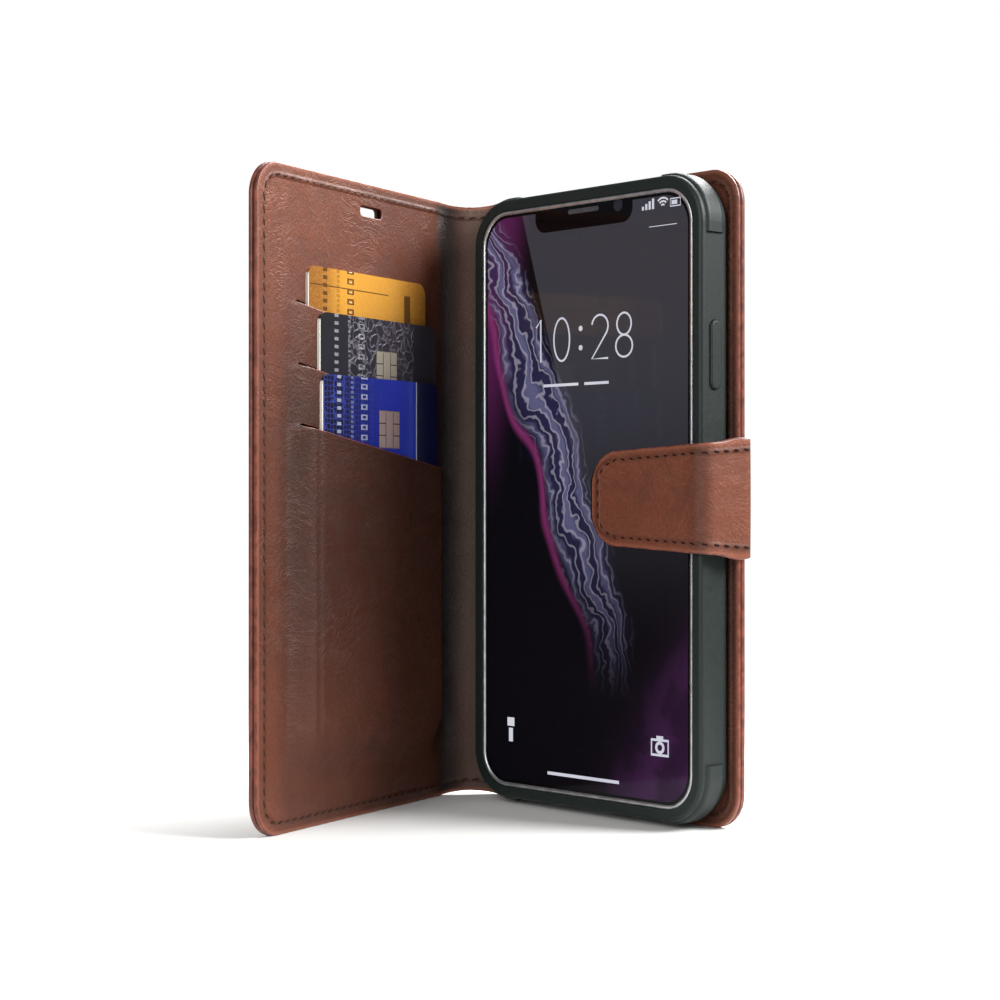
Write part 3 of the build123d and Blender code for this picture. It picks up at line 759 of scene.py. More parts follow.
# Wrinkle families: angle, spacing and length in millimetres, patch size, where they start, and weight.
wrinkles = (
    (62, 1.7, 9.0, 24, 0.46, 1.0),
    (-38, 1.3, 7.0, 19, 0.5, 0.8),
    (12, 1.0, 5.0, 15, 0.5, 0.6),
    (100, 2.4, 16.0, 36, 0.5, 0.9),
)


# Pull-up leather: hot wax and a plated finish give the eye a low sheen and paler creases. Creases are
# where stretched noise crosses its middle value, the pebble grain is small cells, and the colour is
# slow noise.
def leatherMaterial(name, tint=1.0, shade=False, creases=1.0, onStrap=False):
    item, tree, shader = newMaterial(name)
    place = millimetres(tree, "flat")
    split = addNode(tree, "ShaderNodeSeparateXYZ", {0: place})
    along, up = split.outputs[0], split.outputs[1]
    slow = noise(tree, place, 34, 2)
    middle = noise(tree, place, 7, 4, 0.6)
    fine = noise(tree, place, 0.9, 3, 0.6)
    shifted = warped(tree, place, 16, 2.0, (12, 12, 0))
    crease = 0.0
    for degrees, across, length, patch, low, weight in wrinkles:
        turning = {"Vector": shifted, "Angle": math.radians(degrees)}
        turned = addNode(tree, "ShaderNodeVectorRotate", turning, rotation_type="Z_AXIS").outputs[0]
        thin = addNode(
            tree, "ShaderNodeVectorMath", {0: turned, 1: (1 / across, 1 / length, 0), 2: (degrees, 0, 0)},
            operation="MULTIPLY_ADD",
        ).outputs[0]
        field = noise(tree, thin, 1.0, 3, 0.6)
        offMiddle = maths(tree, "ABSOLUTE", maths(tree, "SUBTRACT", field, 0.5))
        ridge = remap(tree, offMiddle, 0.0, 0.045, 1.0, 0.0)
        moved = {0: place, 1: (degrees * 3.0, degrees, 0)}
        spread = addNode(tree, "ShaderNodeVectorMath", moved, operation="ADD").outputs[0]
        where = remap(tree, noise(tree, spread, patch, 2, 0.5), low, low + 0.14)
        ridge = maths(tree, "MULTIPLY", ridge, where)
        crease = maths(tree, "MULTIPLY_ADD", ridge, weight, crease)
    crease = maths(tree, "MULTIPLY", crease, creases, clamp=True)
    pebbles = {"Vector": place, "Scale": 1 / 0.55}
    cells = addNode(tree, "ShaderNodeTexVoronoi", pebbles, feature="F1").outputs[0]
    body = mixColour(tree, remap(tree, slow, 0.3, 0.7), leather["dark"], leather["light"])
    body = mixColour(tree, remap(tree, middle, 0.3, 0.72, 0.0, 0.55), leather["light"], body)
    body = mixColour(tree, remap(tree, fine, 0.3, 0.7, 0.0, 0.24), body, leather["deep"])
    body = mixColour(tree, maths(tree, "MULTIPLY", crease, 0.2), body, leather["crease"])
    if shade:
        # Painted shade: the lining darkens towards the front fold and towards the bottom, more so over the
        # pockets, where the phone and strap shade it.
        toFold = remap(tree, along, flat["freeEdge"] + 4, flat["frontFold"] - 10)
        lower = remap(tree, up, 156, 96)
        lower = maths(tree, "MULTIPLY", lower, remap(tree, up, 4, 66, 0.68, 1.0))
        inPocket = remap(tree, along, flat["freeEdge"] + 6, flat["freeEdge"] + 14)
        depth = maths(tree, "MULTIPLY", toFold, maths(tree, "MULTIPLY_ADD", lower, 0.26, 0.46))
        left = maths(tree, "MULTIPLY", lower, maths(tree, "MULTIPLY_ADD", inPocket, 0.34, 0.5))
        depth = maths(tree, "MAXIMUM", depth, left)
        body = mixColour(tree, maths(tree, "MULTIPLY", depth, 0.9), body, leather["deep"])
        # Painted sheen: a grey band along the middle of the spine.
        spineSheen = band(tree, along, flat["frontFold"] + 6, flat["backFold"] - 2, 4.0)
        body = mixColour(tree, maths(tree, "MULTIPLY", spineSheen, 0.7), body, leather["spine"])
        # Painted shade in the crease of the front fold.
        valleyShade = band(tree, along, flat["frontFold"] - 1.5, flat["frontFold"] + 6.0, 3.0)
        body = mixColour(tree, maths(tree, "MULTIPLY", valleyShade, 0.92), body, leather["valleyShade"])
    if onStrap:
        # Painted shade in the strap's bend at its fold.
        foldAt = strap["ax"] + strap["sideLength"]
        bendShade = maths(tree, "MULTIPLY", band(tree, along, foldAt - 1.0, foldAt + 2.6, 3.4), 0.4)
        body = mixColour(tree, bendShade, body, leather["deep"])
    edge = addNode(tree, "ShaderNodeAttribute", attribute_name="edge").outputs["Fac"]
    inset = strapStitch["inset"] if onStrap else stitch["inset"]
    fromSeam = maths(tree, "ABSOLUTE", maths(tree, "SUBTRACT", edge, inset))
    groove = remap(tree, fromSeam, 0.15, 0.95, 1.0, 0.0)
    body = mixColour(tree, maths(tree, "MULTIPLY", groove, 0.24), body, leather["deep"])
    # Paler towards the cut edge, fading out about 1.3 mm in.
    paleEdge = remap(tree, edge, 0.3, 1.3, 0.5, 0.0)
    body = mixColour(tree, paleEdge, body, leather["crease"])
    level = addNode(tree, "ShaderNodeHueSaturation", {"Color": body, "Value": tint}).outputs[0]
    tree.links.new(level, shader.inputs["Base Color"])
    gloss = remap(tree, middle, 0.3, 0.7, leather["roughness"] - 0.05, leather["roughness"] + 0.12)
    tree.links.new(gloss, shader.inputs["Roughness"])
    shader.inputs["IOR"].default_value = 1.5
    shader.inputs["Specular IOR Level"].default_value = 0.3
    relief = maths(tree, "MULTIPLY_ADD", crease, 0.07, maths(tree, "MULTIPLY", cells, 0.06))
    relief = maths(tree, "MULTIPLY_ADD", fine, 0.08, relief)
    relief = maths(tree, "MULTIPLY_ADD", middle, 0.2, relief)
    addRelief(tree, shader, maths(tree, "MULTIPLY_ADD", groove, -0.28, relief))
    return item


# Edge paint: smooth, a little redder than the leather, uneven where the brush ran thin.
def edgePaint():
    item, tree, shader = newMaterial("edge paint, brushed on cut leather")
    place = millimetres(tree, "object")
    patchy = noise(tree, place, 2.2, 3)
    tone = mixColour(tree, remap(tree, patchy, 0.3, 0.7), colour("5E2F24"), colour("86493A"))
    tree.links.new(tone, shader.inputs["Base Color"])
    shader.inputs["Roughness"].default_value = 0.38
    addRelief(tree, shader, patchy, 0.5, 0.1 * mm)
    return item


# A plain moulded, drawn or coated finish: two near tones mixed by noise, with its own grain and gloss.
def simpleMaterial(
    name, first, second, size, roughness, metallic=0.0, relief=0.05, coat=0.0, ior=None, shine=0.5
):
    item, tree, shader = newMaterial(name)
    place = millimetres(tree, "object")
    grain = noise(tree, place, size, 3)
    tone = mixColour(tree, remap(tree, grain, 0.3, 0.7), colour(first), colour(second))
    tree.links.new(tone, shader.inputs["Base Color"])
    gloss = remap(tree, grain, 0.3, 0.7, roughness - 0.04, roughness + 0.05)
    tree.links.new(gloss, shader.inputs["Roughness"])
    shader.inputs["Metallic"].default_value = metallic
    shader.inputs["Coat Weight"].default_value = coat
    shader.inputs["Specular IOR Level"].default_value = shine
    if ior:
        shader.inputs["IOR"].default_value = ior
    addRelief(tree, shader, grain, 0.6, relief * mm)
    return item


# Card coordinates: how far across the front cover from its free edge, and the height, in millimetres.
def cardPlace(tree):
    place = millimetres(tree, "object")
    turn = 2 * flat["foldAngle"]
    towards = (math.cos(turn), math.sin(turn), 0)
    edge = caseMap(np.array([flat["freeEdge"]]), np.array([0.0]), np.array([0.0]))[0] / mm
    offset = -(edge[0] * towards[0] + edge[1] * towards[1])
    dot = addNode(tree, "ShaderNodeVectorMath", {0: place, 1: towards}, operation="DOT_PRODUCT")
    across = maths(tree, "ADD", dot.outputs["Value"], offset)
    up = addNode(tree, "ShaderNodeSeparateXYZ", {0: place}).outputs[2]
    return place, across, up


# 1 between two values, with soft edges: a rising step times a falling one.
def band(tree, value, low, high, soft=0.08):
    rise = remap(tree, value, low - soft, low + soft)
    fall = remap(tree, value, high - soft, high + soft, 1.0, 0.0)
    return maths(tree, "MULTIPLY", rise, fall)


# Short bars along a value: 1 over the first share of each pitch.
def dashes(tree, value, pitch, share):
    part = maths(tree, "FRACT", maths(tree, "DIVIDE", value, pitch))
    return remap(tree, part, share - 0.03, share + 0.03, 1.0, 0.0)


cards = {"edges": (19.6, 22.6, 21.8), "tops": (135.0, 124.0, 109.0)}


# A printed card: its tone across the width, on the gold card with a painted sheen, its own pattern, raised
# bars, and a white core at its edge.
def cardMaterial(name, index):
    item, tree, shader = newMaterial(name)
    place, across, up = cardPlace(tree)
    edge, top = cards["edges"][index], cards["tops"][index]
    x = maths(tree, "SUBTRACT", across, edge)
    y = maths(tree, "SUBTRACT", top, up)
    grain = noise(tree, place, 0.35, 2)
    raised = maths(tree, "MULTIPLY", band(tree, x, 6.4, 8.2), dashes(tree, y, 1.9, 0.45))
    lifted = maths(tree, "ADD", y, 0.8)
    second = maths(tree, "MULTIPLY", band(tree, x, 17.0, 20.0), dashes(tree, lifted, 2.5, 0.55))
    part = maths(tree, "FRACT", maths(tree, "DIVIDE", lifted, 2.5))
    hollow = maths(tree, "MULTIPLY", band(tree, x, 17.8, 19.2, 0.1), band(tree, part, 0.15, 0.4, 0.03))
    second = maths(tree, "MULTIPLY", second, maths(tree, "SUBTRACT", 1.0, hollow))
    thin = maths(tree, "MULTIPLY", band(tree, x, 12.4, 13.6), dashes(tree, y, 1.2, 0.6))
    second = maths(tree, "MAXIMUM", second, maths(tree, "MULTIPLY", thin, 0.4))
    raised = maths(tree, "MAXIMUM", raised, second)
    relief = maths(tree, "MULTIPLY", raised, 0.3)
    if index == 0:
        # Painted sheen: the gold is brightened towards its left and in noise patches, and it darkens towards
        # its right end.
        shine = maths(tree, "MULTIPLY_ADD", noise(tree, place, 22, 2), 0.5, remap(tree, x, 0, 24))
        tone = mixColour(tree, remap(tree, shine, 0.25, 1.1), colour("93560F"), colour("E39E2E"))
        tone = mixColour(tree, remap(tree, x, 34, 54, 0, 0.8), tone, colour("8A5010"))
        tone = mixColour(tree, remap(tree, grain, 0.35, 0.75, 0, 0.25), tone, colour("FFD27A"))
        line = maths(tree, "MULTIPLY", band(tree, y, 4.2, 4.5, 0.05), band(tree, x, 1.0, 36, 0.2))
        wide = maths(tree, "MULTIPLY", band(tree, x, 43.5, 46.5), remap(tree, y, 3.6, 3.9))
        ink = maths(tree, "MAXIMUM", maths(tree, "MAXIMUM", line, raised), wide)
        tone = mixColour(tree, maths(tree, "MULTIPLY", ink, 0.82), tone, colour("4A2A0C"))
        shader.inputs["Metallic"].default_value = 0.25
        gloss = 0.34
    elif index == 1:
        moved = {"Vector": warped(tree, place, 9, 2.0, (14, 14, 14)), "Scale": 1 / 2.6}
        swirl = addNode(tree, "ShaderNodeTexVoronoi", moved, feature="DISTANCE_TO_EDGE").outputs[0]
        cut = remap(tree, swirl, 0.02, 0.13, 1.0, 0.0)
        middle = band(tree, x, 12.5, 43.0, 0.4)
        cut = maths(tree, "MULTIPLY", cut, middle)
        tone = mixColour(tree, remap(tree, x, 0, 40), colour("141318"), colour("2D2B33"))
        tone = mixColour(tree, maths(tree, "MULTIPLY", cut, 0.55), tone, colour("77727C"))
        tone = mixColour(tree, maths(tree, "MULTIPLY", raised, 0.45), tone, colour("B9B8C2"))
        relief = maths(tree, "MULTIPLY_ADD", cut, -0.22, relief)
        gloss = 0.36
    else:
        weave = {"Vector": place, "Scale": 1 / 1.3, "Randomness": 0.3}
        cells = addNode(tree, "ShaderNodeTexVoronoi", weave, feature="DISTANCE_TO_EDGE").outputs[0]
        mesh = remap(tree, cells, 0.02, 0.12, 1.0, 0.0)
        tone = mixColour(tree, remap(tree, x, 6, 44), colour("05051E"), colour("1436C4"))
        strength = maths(tree, "MULTIPLY", mesh, remap(tree, x, 8, 34, 0.5, 0.1))
        tone = mixColour(tree, strength, tone, colour("3F4FB4"))
        tone = mixColour(tree, band(tree, x, 43.2, 70, 0.1), tone, colour("10143E"))
        tone = mixColour(tree, band(tree, x, 42.9, 43.3, 0.06), tone, colour("E8E8F2"))
        tone = mixColour(tree, maths(tree, "MULTIPLY", raised, 0.5), tone, colour("C8CCE0"))
        gloss = 0.28
    core = remap(tree, x, 0.28, 0.42, 1.0, 0.0)
    tone = mixColour(tree, core, tone, colour("EDE6DA"))
    tree.links.new(tone, shader.inputs["Base Color"])
    shader.inputs["Roughness"].default_value = gloss
    shader.inputs["Coat Weight"].default_value = 0.5
    shader.inputs["Coat Roughness"].default_value = 0.12
    addRelief(tree, shader, maths(tree, "MULTIPLY_ADD", grain, 0.01, relief))
    return item


# Each contact plate's middle: across from its card's edge, and down from its top.
chipPlaces = ((23.9, 73.0), (30.1, 12.6), (30.1, 12.6))


# A card's contact plate: gold-washed nickel, a warm soft shine, parted by thin dark lines at set
# distances from its middle.
def chipMaterial(name, index, tone):
    item, tree, shader = newMaterial(name)
    across, up = cardPlace(tree)[1:]
    chipX, chipDrop = chipPlaces[index]
    x = maths(tree, "SUBTRACT", across, cards["edges"][index] + chipX)
    y = maths(tree, "SUBTRACT", up, cards["tops"][index] - chipDrop)
    ax, ay = maths(tree, "ABSOLUTE", x), maths(tree, "ABSOLUTE", y)
    gap = 0.12
    upright = maths(tree, "MULTIPLY", band(tree, ax, 1.7 - gap, 1.7 + gap, 0.04), remap(tree, ay, 4.4, 4.2))
    level = maths(tree, "MULTIPLY", band(tree, ay, 1.5 - gap, 1.5 + gap, 0.04), remap(tree, ax, 1.6, 1.8))
    rim = maths(tree, "MAXIMUM", remap(tree, ax, 4.55, 4.65), remap(tree, ay, 4.45, 4.55))
    cut = maths(tree, "MAXIMUM", maths(tree, "MAXIMUM", upright, level), maths(tree, "MULTIPLY", rim, 0.35))
    base = mixColour(tree, cut, colour(tone), colour("2B241C"))
    tree.links.new(base, shader.inputs["Base Color"])
    shader.inputs["Metallic"].default_value = 0.55
    shader.inputs["Roughness"].default_value = 0.36
    addRelief(tree, shader, maths(tree, "MULTIPLY", cut, -0.1))
    return item


screen = {
    "halfWide": 35.0,
    "halfTall": 72.6,
    "corner": 7.6,
    "middle": 79.0,
    "notch": (153.0, 17.0, 6.6, 3.6),
    "glow": 0.62,
}


# Signed distance to a rounded box centred on the phone, as nodes: hypot of the two overshoots, less the
# radius.
def boxField(tree, x, z, middle, halfWide, halfTall, r):
    qx = maths(tree, "SUBTRACT", maths(tree, "ABSOLUTE", x), halfWide - r)
    offset = maths(tree, "ABSOLUTE", maths(tree, "SUBTRACT", z, middle))
    qz = maths(tree, "SUBTRACT", offset, halfTall - r)
    ox, oz = maths(tree, "MAXIMUM", qx, 0), maths(tree, "MAXIMUM", qz, 0)
    square = maths(tree, "ADD", maths(tree, "MULTIPLY", ox, ox), maths(tree, "MULTIPLY", oz, oz))
    inner = maths(tree, "MINIMUM", maths(tree, "MAXIMUM", qx, qz), 0)
    return maths(tree, "SUBTRACT", maths(tree, "ADD", maths(tree, "SQRT", square), inner), r)


# Polished cover glass over a lit display: sharp faint reflections, black border, and an abstract
# picture. A ribbon bows with height to the power 1.6, its marbling is sines of drifting noise, and a
# painted reflection, pale grey, lies top right.
def screenMaterial():
    item, tree, shader = newMaterial("cover glass over a lit display, with a painted reflection")
    place = millimetres(tree, "object")
    split = addNode(tree, "ShaderNodeSeparateXYZ", {0: place})
    x, z = split.outputs[0], split.outputs[2]
    box = (screen["middle"], screen["halfWide"], screen["halfTall"], screen["corner"])
    lit = remap(tree, boxField(tree, x, z, *box), -0.12, 0.0, 1.0, 0.0)
    notch = remap(tree, boxField(tree, x, z, *screen["notch"]), -0.1, 0.05, 1.0, 0.0)
    lit = maths(tree, "MULTIPLY", lit, maths(tree, "SUBTRACT", 1.0, notch))
    flow = warped(tree, place, 34, 1.0, (18, 0, 18), 0.4)
    parts = addNode(tree, "ShaderNodeSeparateXYZ", {0: flow})
    fx, fz = parts.outputs[0], parts.outputs[2]
    rise = maths(tree, "DIVIDE", maths(tree, "SUBTRACT", fz, 10), 140)
    bow = maths(tree, "MULTIPLY", maths(tree, "POWER", maths(tree, "MAXIMUM", rise, 0.001), 1.6), -46)
    ribbon = maths(tree, "SUBTRACT", fx, maths(tree, "ADD", bow, 27))
    drift = noise(tree, flow, 12, 3, 0.55)
    silk = maths(tree, "SINE", maths(tree, "MULTIPLY_ADD", drift, 13, ribbon))
    silk = remap(tree, silk, -0.2, 1.0)
    hair = maths(tree, "SINE", maths(tree, "MULTIPLY_ADD", drift, 44, maths(tree, "MULTIPLY", ribbon, 2.4)))
    hair = remap(tree, hair, 0.35, 1.0)
    upper = remap(tree, z, 28, 84)
    inRibbon = maths(tree, "MULTIPLY", band(tree, ribbon, -11, 3, 4.0), upper)
    glowEdge = maths(tree, "MULTIPLY", band(tree, ribbon, -14.5, -13.0, 1.3), upper)
    topLeft = maths(tree, "MULTIPLY_ADD", z, -0.14, x)
    topLeft = maths(tree, "MULTIPLY", remap(tree, topLeft, -50, -38, 1.0, 0.0), remap(tree, z, 70, 130))
    base = mixColour(tree, topLeft, colour("09080E"), colour("64245A"))
    base = mixColour(tree, maths(tree, "MULTIPLY", inRibbon, 0.7), base, colour("38345E"))
    silk = maths(tree, "MULTIPLY", maths(tree, "MULTIPLY", inRibbon, silk), 0.55)
    hair = maths(tree, "MULTIPLY", maths(tree, "MULTIPLY", inRibbon, hair), 0.5)
    base = mixColour(tree, silk, base, colour("8B8AB8"))
    base = mixColour(tree, hair, base, colour("D5D0E4"))
    base = mixColour(tree, maths(tree, "MULTIPLY", glowEdge, 0.9), base, colour("A03C80"))
    corner = maths(tree, "MULTIPLY_ADD", z, -0.55, x)
    low = maths(tree, "MULTIPLY", remap(tree, corner, -6, 34), remap(tree, z, 66, 34))
    veil = maths(tree, "SINE", maths(tree, "MULTIPLY_ADD", drift, 9, maths(tree, "MULTIPLY", corner, 0.28)))
    veil = maths(tree, "MULTIPLY", low, remap(tree, veil, -1.0, 1.0, 0.35, 0.9))
    base = mixColour(tree, veil, base, colour("5E3168"))
    # Painted reflection: a pale grey area at the top right, emitted with the picture.
    slope = maths(tree, "MULTIPLY_ADD", z, 0.3, x)
    reflectionSide = remap(tree, slope, 23.4, 23.9)
    reflectionLow = remap(tree, z, 40, 120)
    paintedReflection = maths(tree, "MULTIPLY", maths(tree, "MULTIPLY", reflectionSide, reflectionLow), 0.3)
    base = mixColour(tree, paintedReflection, base, colour("7C7B88"))
    tree.links.new(base, shader.inputs["Emission Color"])
    tree.links.new(maths(tree, "MULTIPLY", lit, screen["glow"]), shader.inputs["Emission Strength"])
    shader.inputs["Base Color"].default_value = colour("07070A")
    shader.inputs["IOR"].default_value = 1.5
    shader.inputs["Specular IOR Level"].default_value = 0.16
    smear = noise(tree, place, 16, 3)
    tree.links.new(remap(tree, smear, 0.3, 0.75, 0.05, 0.1), shader.inputs["Roughness"])
    return item


coverLeather = leatherMaterial("pull-up leather, hot-stuffed and plated", shade=True)
strapLeather = leatherMaterial("strap leather, hot-stuffed and plated", 0.94, creases=0.8, onStrap=True)
outerLeather = leatherMaterial("outer leather, hot-stuffed and plated")
paint = edgePaint()
twist = {"size": 0.35, "roughness": 0.7, "relief": 0.1, "shine": 0.15}
thread = simpleMaterial("bonded polyester thread, twisted", "2C170F", "472A1D", **twist)
# The strap's thread is darker than the covers' thread: painted shade standing in for its stitch holes.
darkThread = simpleMaterial("waxed thread, darkened with painted hole shade", "170C08", "2A150F", **twist)
board = simpleMaterial("kraft board, calendered", "3A332C", "4A4238", 1.2, 0.8)
shellPlastic = simpleMaterial(
    "TPU, injection moulded matte", "101A18", "172321", 0.5, 0.5, relief=0.02, ior=1.5, shine=0.4
)
bandMetal = simpleMaterial("stainless steel, polished band", "B9BBC0", "CFD1D4", 3.0, 0.34, 0.85, 0.001)
keyMetal = simpleMaterial("stainless steel, brushed key", "9FA2A6", "B7B9BC", 0.8, 0.3, 1.0, 0.01)
plateSteel = simpleMaterial("spring steel, cold rolled", "8C8F92", "A3A5A8", 2.0, 0.35, 1.0, 0.01)
magnetCoat = simpleMaterial("nickel plated magnet, barrel plated", "A9A7A1", "C2C0BA", 1.5, 0.3, 1.0, 0.01)
backGlass = simpleMaterial(
    "tempered glass, frosted backing", "15161A", "1D1E24", 6.0, 0.16, coat=0.5, ior=1.5
)
lensGlass = simpleMaterial("lens glass, coated", "05060C", "10142A", 2.0, 0.08, coat=1.0, ior=1.52)
flashPlastic = simpleMaterial("flash diffuser, moulded polycarbonate", "E9E2C4", "F3EED8", 0.4, 0.3, ior=1.58)
darkMesh = simpleMaterial("acoustic mesh, woven steel", "2B2C2E", "55575B", 0.25, 0.5, relief=0.08)
batteryWrap = simpleMaterial("battery pouch, laminated foil", "1C1D20", "2A2C30", 4.0, 0.4)
boardGreen = simpleMaterial("circuit board, solder masked", "0E3A26", "14492F", 1.0, 0.45)
goldCard = cardMaterial("PVC card, gold print under laminate", 0)
darkCard = cardMaterial("PVC card, charcoal print, engraved", 1)
blueCard = cardMaterial("PVC card, blue print under laminate", 2)
chipTones = ("CFC39A", "D2CBB2", "CDB4AC")
chips = [chipMaterial(f"contact plate {i + 1}, gold-washed nickel", i, chipTones[i]) for i in range(3)]
screenGlass = screenMaterial()
print("materials made")

finishes = {
    "shell": shellPlastic, "steel_plate": plateSteel, "phone_frame": bandMetal, "front_glass": screenGlass,
    "earpiece_grille": darkMesh, "front_lens": lensGlass, "display_panel": batteryWrap,
    "battery": batteryWrap,
    "main_board": boardGreen, "back_glass": backGlass, "camera_bezel": bandMetal, "rear_lenses": lensGlass,
    "flash_lens": flashPlastic, "port_insert": darkMesh, "back_magnets": magnetCoat,
    "catch_plate": plateSteel,
    "back_board": board, "front_board": board, "spine_board": board, "card_gold": goldCard,
    "card_dark": darkCard, "card_blue": blueCard, "chip_gold": chips[0], "chip_dark": chips[1],
    "chip_blue": chips[2], "side_button_cap": shellPlastic, "side_key": keyMetal, "mute_switch": keyMetal,
    "tongue_magnet": magnetCoat, "tongue_core": board, "strap_root": board,
}


# Gives a CAD node its material in every slot.
def finishNode(item, material):
    if not item.material_slots:
        item.data.materials.append(material)
    for slotItem in item.material_slots:
        slotItem.material = material


for nodeName, item in nodes.items():
    pick = finishes.get(nodeName)
    if pick is None:
        pick = shellPlastic if "cap" in nodeName else keyMetal
    finishNode(item, pick)

for item in (liningFront, liningBack, skinFront, skinBack, *strapParts.values()):
    main = strapLeather if item in strapParts.values() else coverLeather
    if item in (skinFront, skinBack):
        main = outerLeather
    item.data.materials.append(main)
    item.data.materials.append(paint)
for item in stitchPieces:
    item.data.materials.append(darkThread if "Strap" in item.name else thread)


marks = {"level": -11.99, "tone": "E9E9F0", "glow": 0.85}


# Flat strokes just above the glass, each a line with a width, closed or open. Its ribbon has two
# corners at every point, half the width either side along the normal of the line from the point before
# to the one after.
def strokesMesh(name, strokes):
    points, corners, total = [], [], 0
    for line, width, closed in strokes:
        path = np.array(line, float)
        first, last = 2 * path[:1] - path[1:2], 2 * path[-1:] - path[-2:-1]
        ahead = np.roll(path, -1, axis=0) if closed else np.concatenate([path[1:], last])
        behind = np.roll(path, 1, axis=0) if closed else np.concatenate([first, path[:-1]])
        along = ahead - behind
        along /= np.linalg.norm(along, axis=1, keepdims=True)
        side = np.stack([-along[:, 1], along[:, 0]], axis=1) * width / 2
        both = np.stack([path + side, path - side], axis=1).reshape(-1, 2)
        points.append(np.stack([both[:, 0], np.full(len(both), marks["level"]), both[:, 1]], axis=1))
        a = 2 * np.arange(len(path) if closed else len(path) - 1)
        b = (a + 2) % len(both)
        corners.append(total + np.stack([a, a + 1, b + 1, b], axis=1).ravel())
        total += len(both)
    corners = np.concatenate(corners)
    item = placeMesh(meshFrom(name, np.concatenate(points) * mm, corners, np.arange(0, corners.size, 4)))
    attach(item, "back_cover")
    return item


# Points of an arc: a centre plus radii times the cosine and sine of even angles, in degrees.
def arc(x, z, rx, rz, start, stop, count=14):
    turns = np.radians(np.linspace(start, stop, count))
    return np.stack([x + rx * np.cos(turns), z + rz * np.sin(turns)], axis=1)


# Thin digit strokes in a cell of the given width and height, drawn with lines and arcs.
def digit(value, x, z, wide, tall, weight):
    half, top, foot = wide / 2, z + tall / 2, z - tall / 2
    if value == 1:
        stem = x + half * 0.2
        return [([(x - half * 0.4, z + tall * 0.32), (stem, top), (stem, foot)], weight, False)]
    if value == 0:
        return [(arc(x, z, half, tall / 2, 0, 345, 24), weight, True)]
    if value == 2:
        bow = arc(x, z + tall * 0.24, half, tall * 0.26, 170, -40, 12)
        return [(np.vstack([bow, [(x - half, foot), (x + half, foot)]]), weight, False)]
    upper = arc(x, z + tall * 0.25, half * 0.86, tall * 0.25, 0, 345, 18)
    lower = arc(x, z - tall * 0.25, half, tall * 0.25, 0, 345, 18)
    return [(upper, weight, True), (lower, weight, True)]


clock = {"z": 119.0, "wide": 5.6, "tall": 10.8, "weight": 0.5}
strokes = []
for value, x in ((1, -15.5), (0, -7.4), (2, 6.0), (8, 14.2)):
    strokes += digit(value, x, clock["z"], clock["wide"], clock["tall"], clock["weight"])
for dz in (-2.4, 2.4):
    strokes.append((arc(-0.7, clock["z"] + dz, 0.35, 0.35, 0, 340, 10), 0.7, True))

# The small marks: each a line in millimetres, its width, and whether it closes.
strokes += [
    ([(-14, 107.6), (-1.5, 107.6)], 0.7, False),  # two bars under the clock
    ([(0.6, 107.6), (9, 107.6)], 0.7, False),
    ([(22.5, 144.4), (31.5, 144.4)], 0.18, False),  # hairline under the corner signs
    ([(29.4, 148.7), (32.6, 148.7), (32.6, 150.5), (29.4, 150.5)], 0.3, True),  # battery and its charge
    ([(29.8, 149.6), (31.6, 149.6)], 1.0, False),
    ([(-12.5, 9.6), (12.5, 9.6)], 0.8, False),  # home bar
    ([(-26, 22.6), (-26, 20.4)], 2.6, False),  # torch head and handle
    ([(-26, 19.9), (-26, 16.4)], 1.5, False),
    (arc(26.0, 19.3, 1.15, 1.15, 0, 345, 24), 0.75, True),  # camera lens, body and hump
    ([(23.3, 17.5), (28.7, 17.5), (28.7, 21.1), (23.3, 21.1)], 0.7, True),
    ([(24.9, 21.7), (27.1, 21.7)], 0.8, False),
]
for i in range(4):  # signal bars, each taller than the last
    strokes.append(([(20.5 + i * 1.1, 148.6), (20.5 + i * 1.1, 149.5 + i * 0.55)], 0.7, False))
for radius in (0.7, 1.5, 2.3):  # wireless fan
    strokes.append((arc(27.0, 148.7, radius, radius, 45, 135, 8), 0.42, False))
screenMarks = strokesMesh("screenMarks", strokes)
markItem, markTree, markShader = newMaterial("organic display, lit white")
markPlace = millimetres(markTree, "object")
markTone = mixColour(markTree, noise(markTree, markPlace, 9, 1), colour(marks["tone"]), colour("C9CBE0"))
markTree.links.new(markTone, markShader.inputs["Emission Color"])
markShader.inputs["Emission Strength"].default_value = marks["glow"]
markShader.inputs["Base Color"].default_value = colour("101014")
screenMarks.data.materials.append(markItem)
print("screen marks made")


ring = {"halfWide": 36.72, "halfTall": 74.32, "corner": 8.9, "wide": 1.1, "level": -11.88, "tall": 0.4}


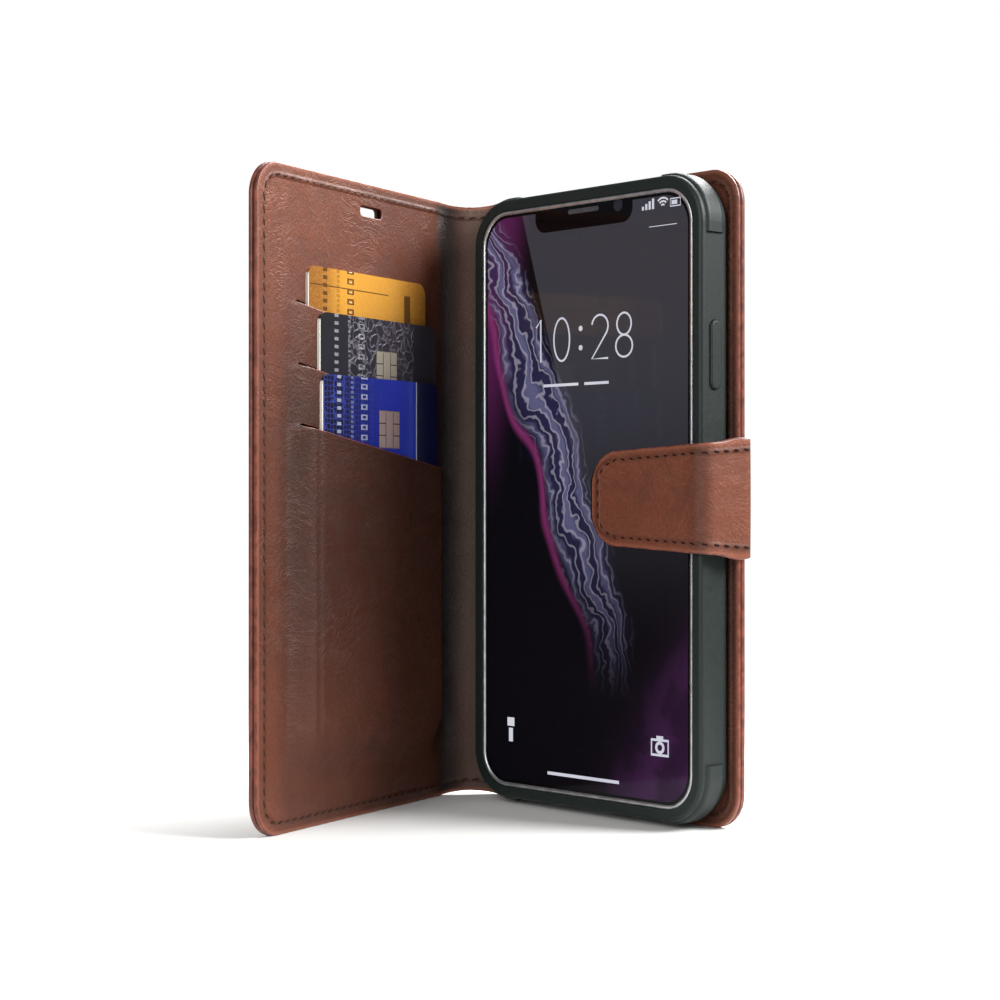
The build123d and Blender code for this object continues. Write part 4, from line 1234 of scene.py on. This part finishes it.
# The phone's polished band where it shows round the glass, a rounded rectangle with a half-round
# section inside the shell's lip: at each angle of the section it goes in by half its width times (1 -
# cos) and up by its height times sin.
def makeRing():
    quarter = np.linspace(0, math.pi / 2, 20)
    r = ring["corner"]
    signX, signZ = np.array([1, -1, -1, 1])[:, None], np.array([1, 1, -1, -1])[:, None]
    angle = quarter + np.arange(4)[:, None] * math.pi / 2
    normalX, normalZ = np.cos(angle), np.sin(angle)
    outX = (signX * (ring["halfWide"] - r) + r * normalX).ravel()
    outZ = (screen["middle"] + signZ * (ring["halfTall"] - r) + r * normalZ).ravel()
    sweep = np.linspace(0, math.pi, 9)[:, None]
    back = ring["wide"] / 2 * (1 - np.cos(sweep))
    lift = ring["tall"] * np.sin(sweep)
    x = outX - normalX.ravel() * back
    z = outZ - normalZ.ravel() * back
    y = np.broadcast_to(ring["level"] - lift, x.shape)
    ids = np.arange(x.size).reshape(x.shape)
    after = np.roll(ids, -1, axis=1)
    quads = np.stack([ids[:-1], after[:-1], after[1:], ids[1:]], axis=-1)
    points = np.stack([x, y, z], axis=-1).reshape(-1, 3) * mm
    item = placeMesh(meshFrom("bandRim", points, quads.ravel(), np.arange(0, quads.size, 4)))
    item.data.materials.append(bandMetal)
    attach(item, "back_cover")
    return item


makeRing()


for item in (liningFront, skinFront):
    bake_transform(item)
for item in (liningBack, skinBack):
    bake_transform(item)
for key in ("strapRootSkin", "strapRootLining"):
    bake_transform(strapParts[key])
for key in ("tongueSkin", "tongueLining"):
    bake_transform(strapParts[key])

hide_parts("front_lining", "pocket_strip_upper", "pocket_strip_lower", "pocket_panel")
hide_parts("back_lining", "spine_lining")
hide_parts("front_outer_skin")
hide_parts("back_outer_skin", "spine_outer_skin")
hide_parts("strap_side_outer", "strap_root")
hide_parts("strap_side_lining")
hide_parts("tongue_outer")
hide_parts("tongue_lining")


stage = {"floorTone": "F4F4F2", "floorSize": 3.0, "fade": (90, 260), "ambient": 0.2}


# A square sheet of studio paper. It fades to clear with distance from the middle, so it has no visible
# edge.
def makeFloor():
    half = stage["floorSize"] / 2
    points = np.array([(-half, -half, 0), (half, -half, 0), (half, half, 0), (-half, half, 0)])
    item = placeMesh(meshFrom("floor", points, np.arange(4), np.array([0])))
    material, tree, shader = newMaterial("studio paper, matte")
    tree.nodes.remove(shader)
    length = addNode(tree, "ShaderNodeVectorMath", {0: millimetres(tree, "object")}, operation="LENGTH")
    fade = remap(tree, length.outputs["Value"], *stage["fade"])
    paper = addNode(tree, "ShaderNodeBsdfDiffuse", {"Color": colour(stage["floorTone"])}).outputs[0]
    clear = addNode(tree, "ShaderNodeBsdfTransparent").outputs[0]
    mixed = addNode(tree, "ShaderNodeMixShader", {0: fade, 1: paper, 2: clear}).outputs[0]
    tree.links.new(mixed, tree.nodes["Material Output"].inputs[0])
    item.data.materials.append(material)
    return item


makeFloor()

world = bpy.data.worlds.new("studio")
world.use_nodes = True
skyTree = world.node_tree
sky = skyTree.nodes["Background"]
sky.inputs["Strength"].default_value = 1.0
rays = addNode(skyTree, "ShaderNodeLightPath")
grey = stage["ambient"]
tone = mixColour(skyTree, rays.outputs["Is Camera Ray"], (grey, grey, grey, 1), (1, 1, 1, 1))
skyTree.links.new(tone, sky.inputs["Color"])
bpy.context.scene.world = world

# Each lamp's place in metres, its width in metres and its power in watts.
lamps = {
    "keyRightBack": ((0.62, 0.36, 0.55), 0.45, 12.0),
    "topBack": ((-0.1, 0.45, 0.62), 0.5, 9.0),
    "fillFront": ((0.3, -0.9, 0.4), 0.7, 6.0),
}
for lampName, (where, size, power) in lamps.items():
    data = bpy.data.lights.new(lampName, "AREA")
    data.shape = "DISK"
    data.size = size
    data.energy = power
    lamp = bpy.data.objects.new(lampName, data)
    lamp.location = where
    aim = np.array([0.0, -0.03, 0.08]) - np.array(where)
    yaw = math.atan2(aim[1], aim[0]) - math.pi / 2
    pitch = math.atan2(aim[2], math.hypot(aim[0], aim[1])) + math.pi / 2
    lamp.rotation_euler = (pitch, 0, yaw)
    bpy.context.scene.collection.objects.link(lamp)

shot = {"lens": 74.16, "sensor": 36, "nearest": 0.01, "place": (0.36088, -0.37662, 0.07867), "azimuth": 47}
lens = bpy.data.cameras.new("mainCamera")
lens.lens = shot["lens"]
lens.sensor_width = shot["sensor"]
lens.clip_start = shot["nearest"]
camera = bpy.data.objects.new("mainCamera", lens)
camera.location = shot["place"]
camera.rotation_euler = (math.radians(90), 0, math.radians(shot["azimuth"]))
bpy.context.scene.collection.objects.link(camera)
bpy.context.scene.camera = camera
bpy.context.scene.view_settings.view_transform = "Standard"
print("stage set")
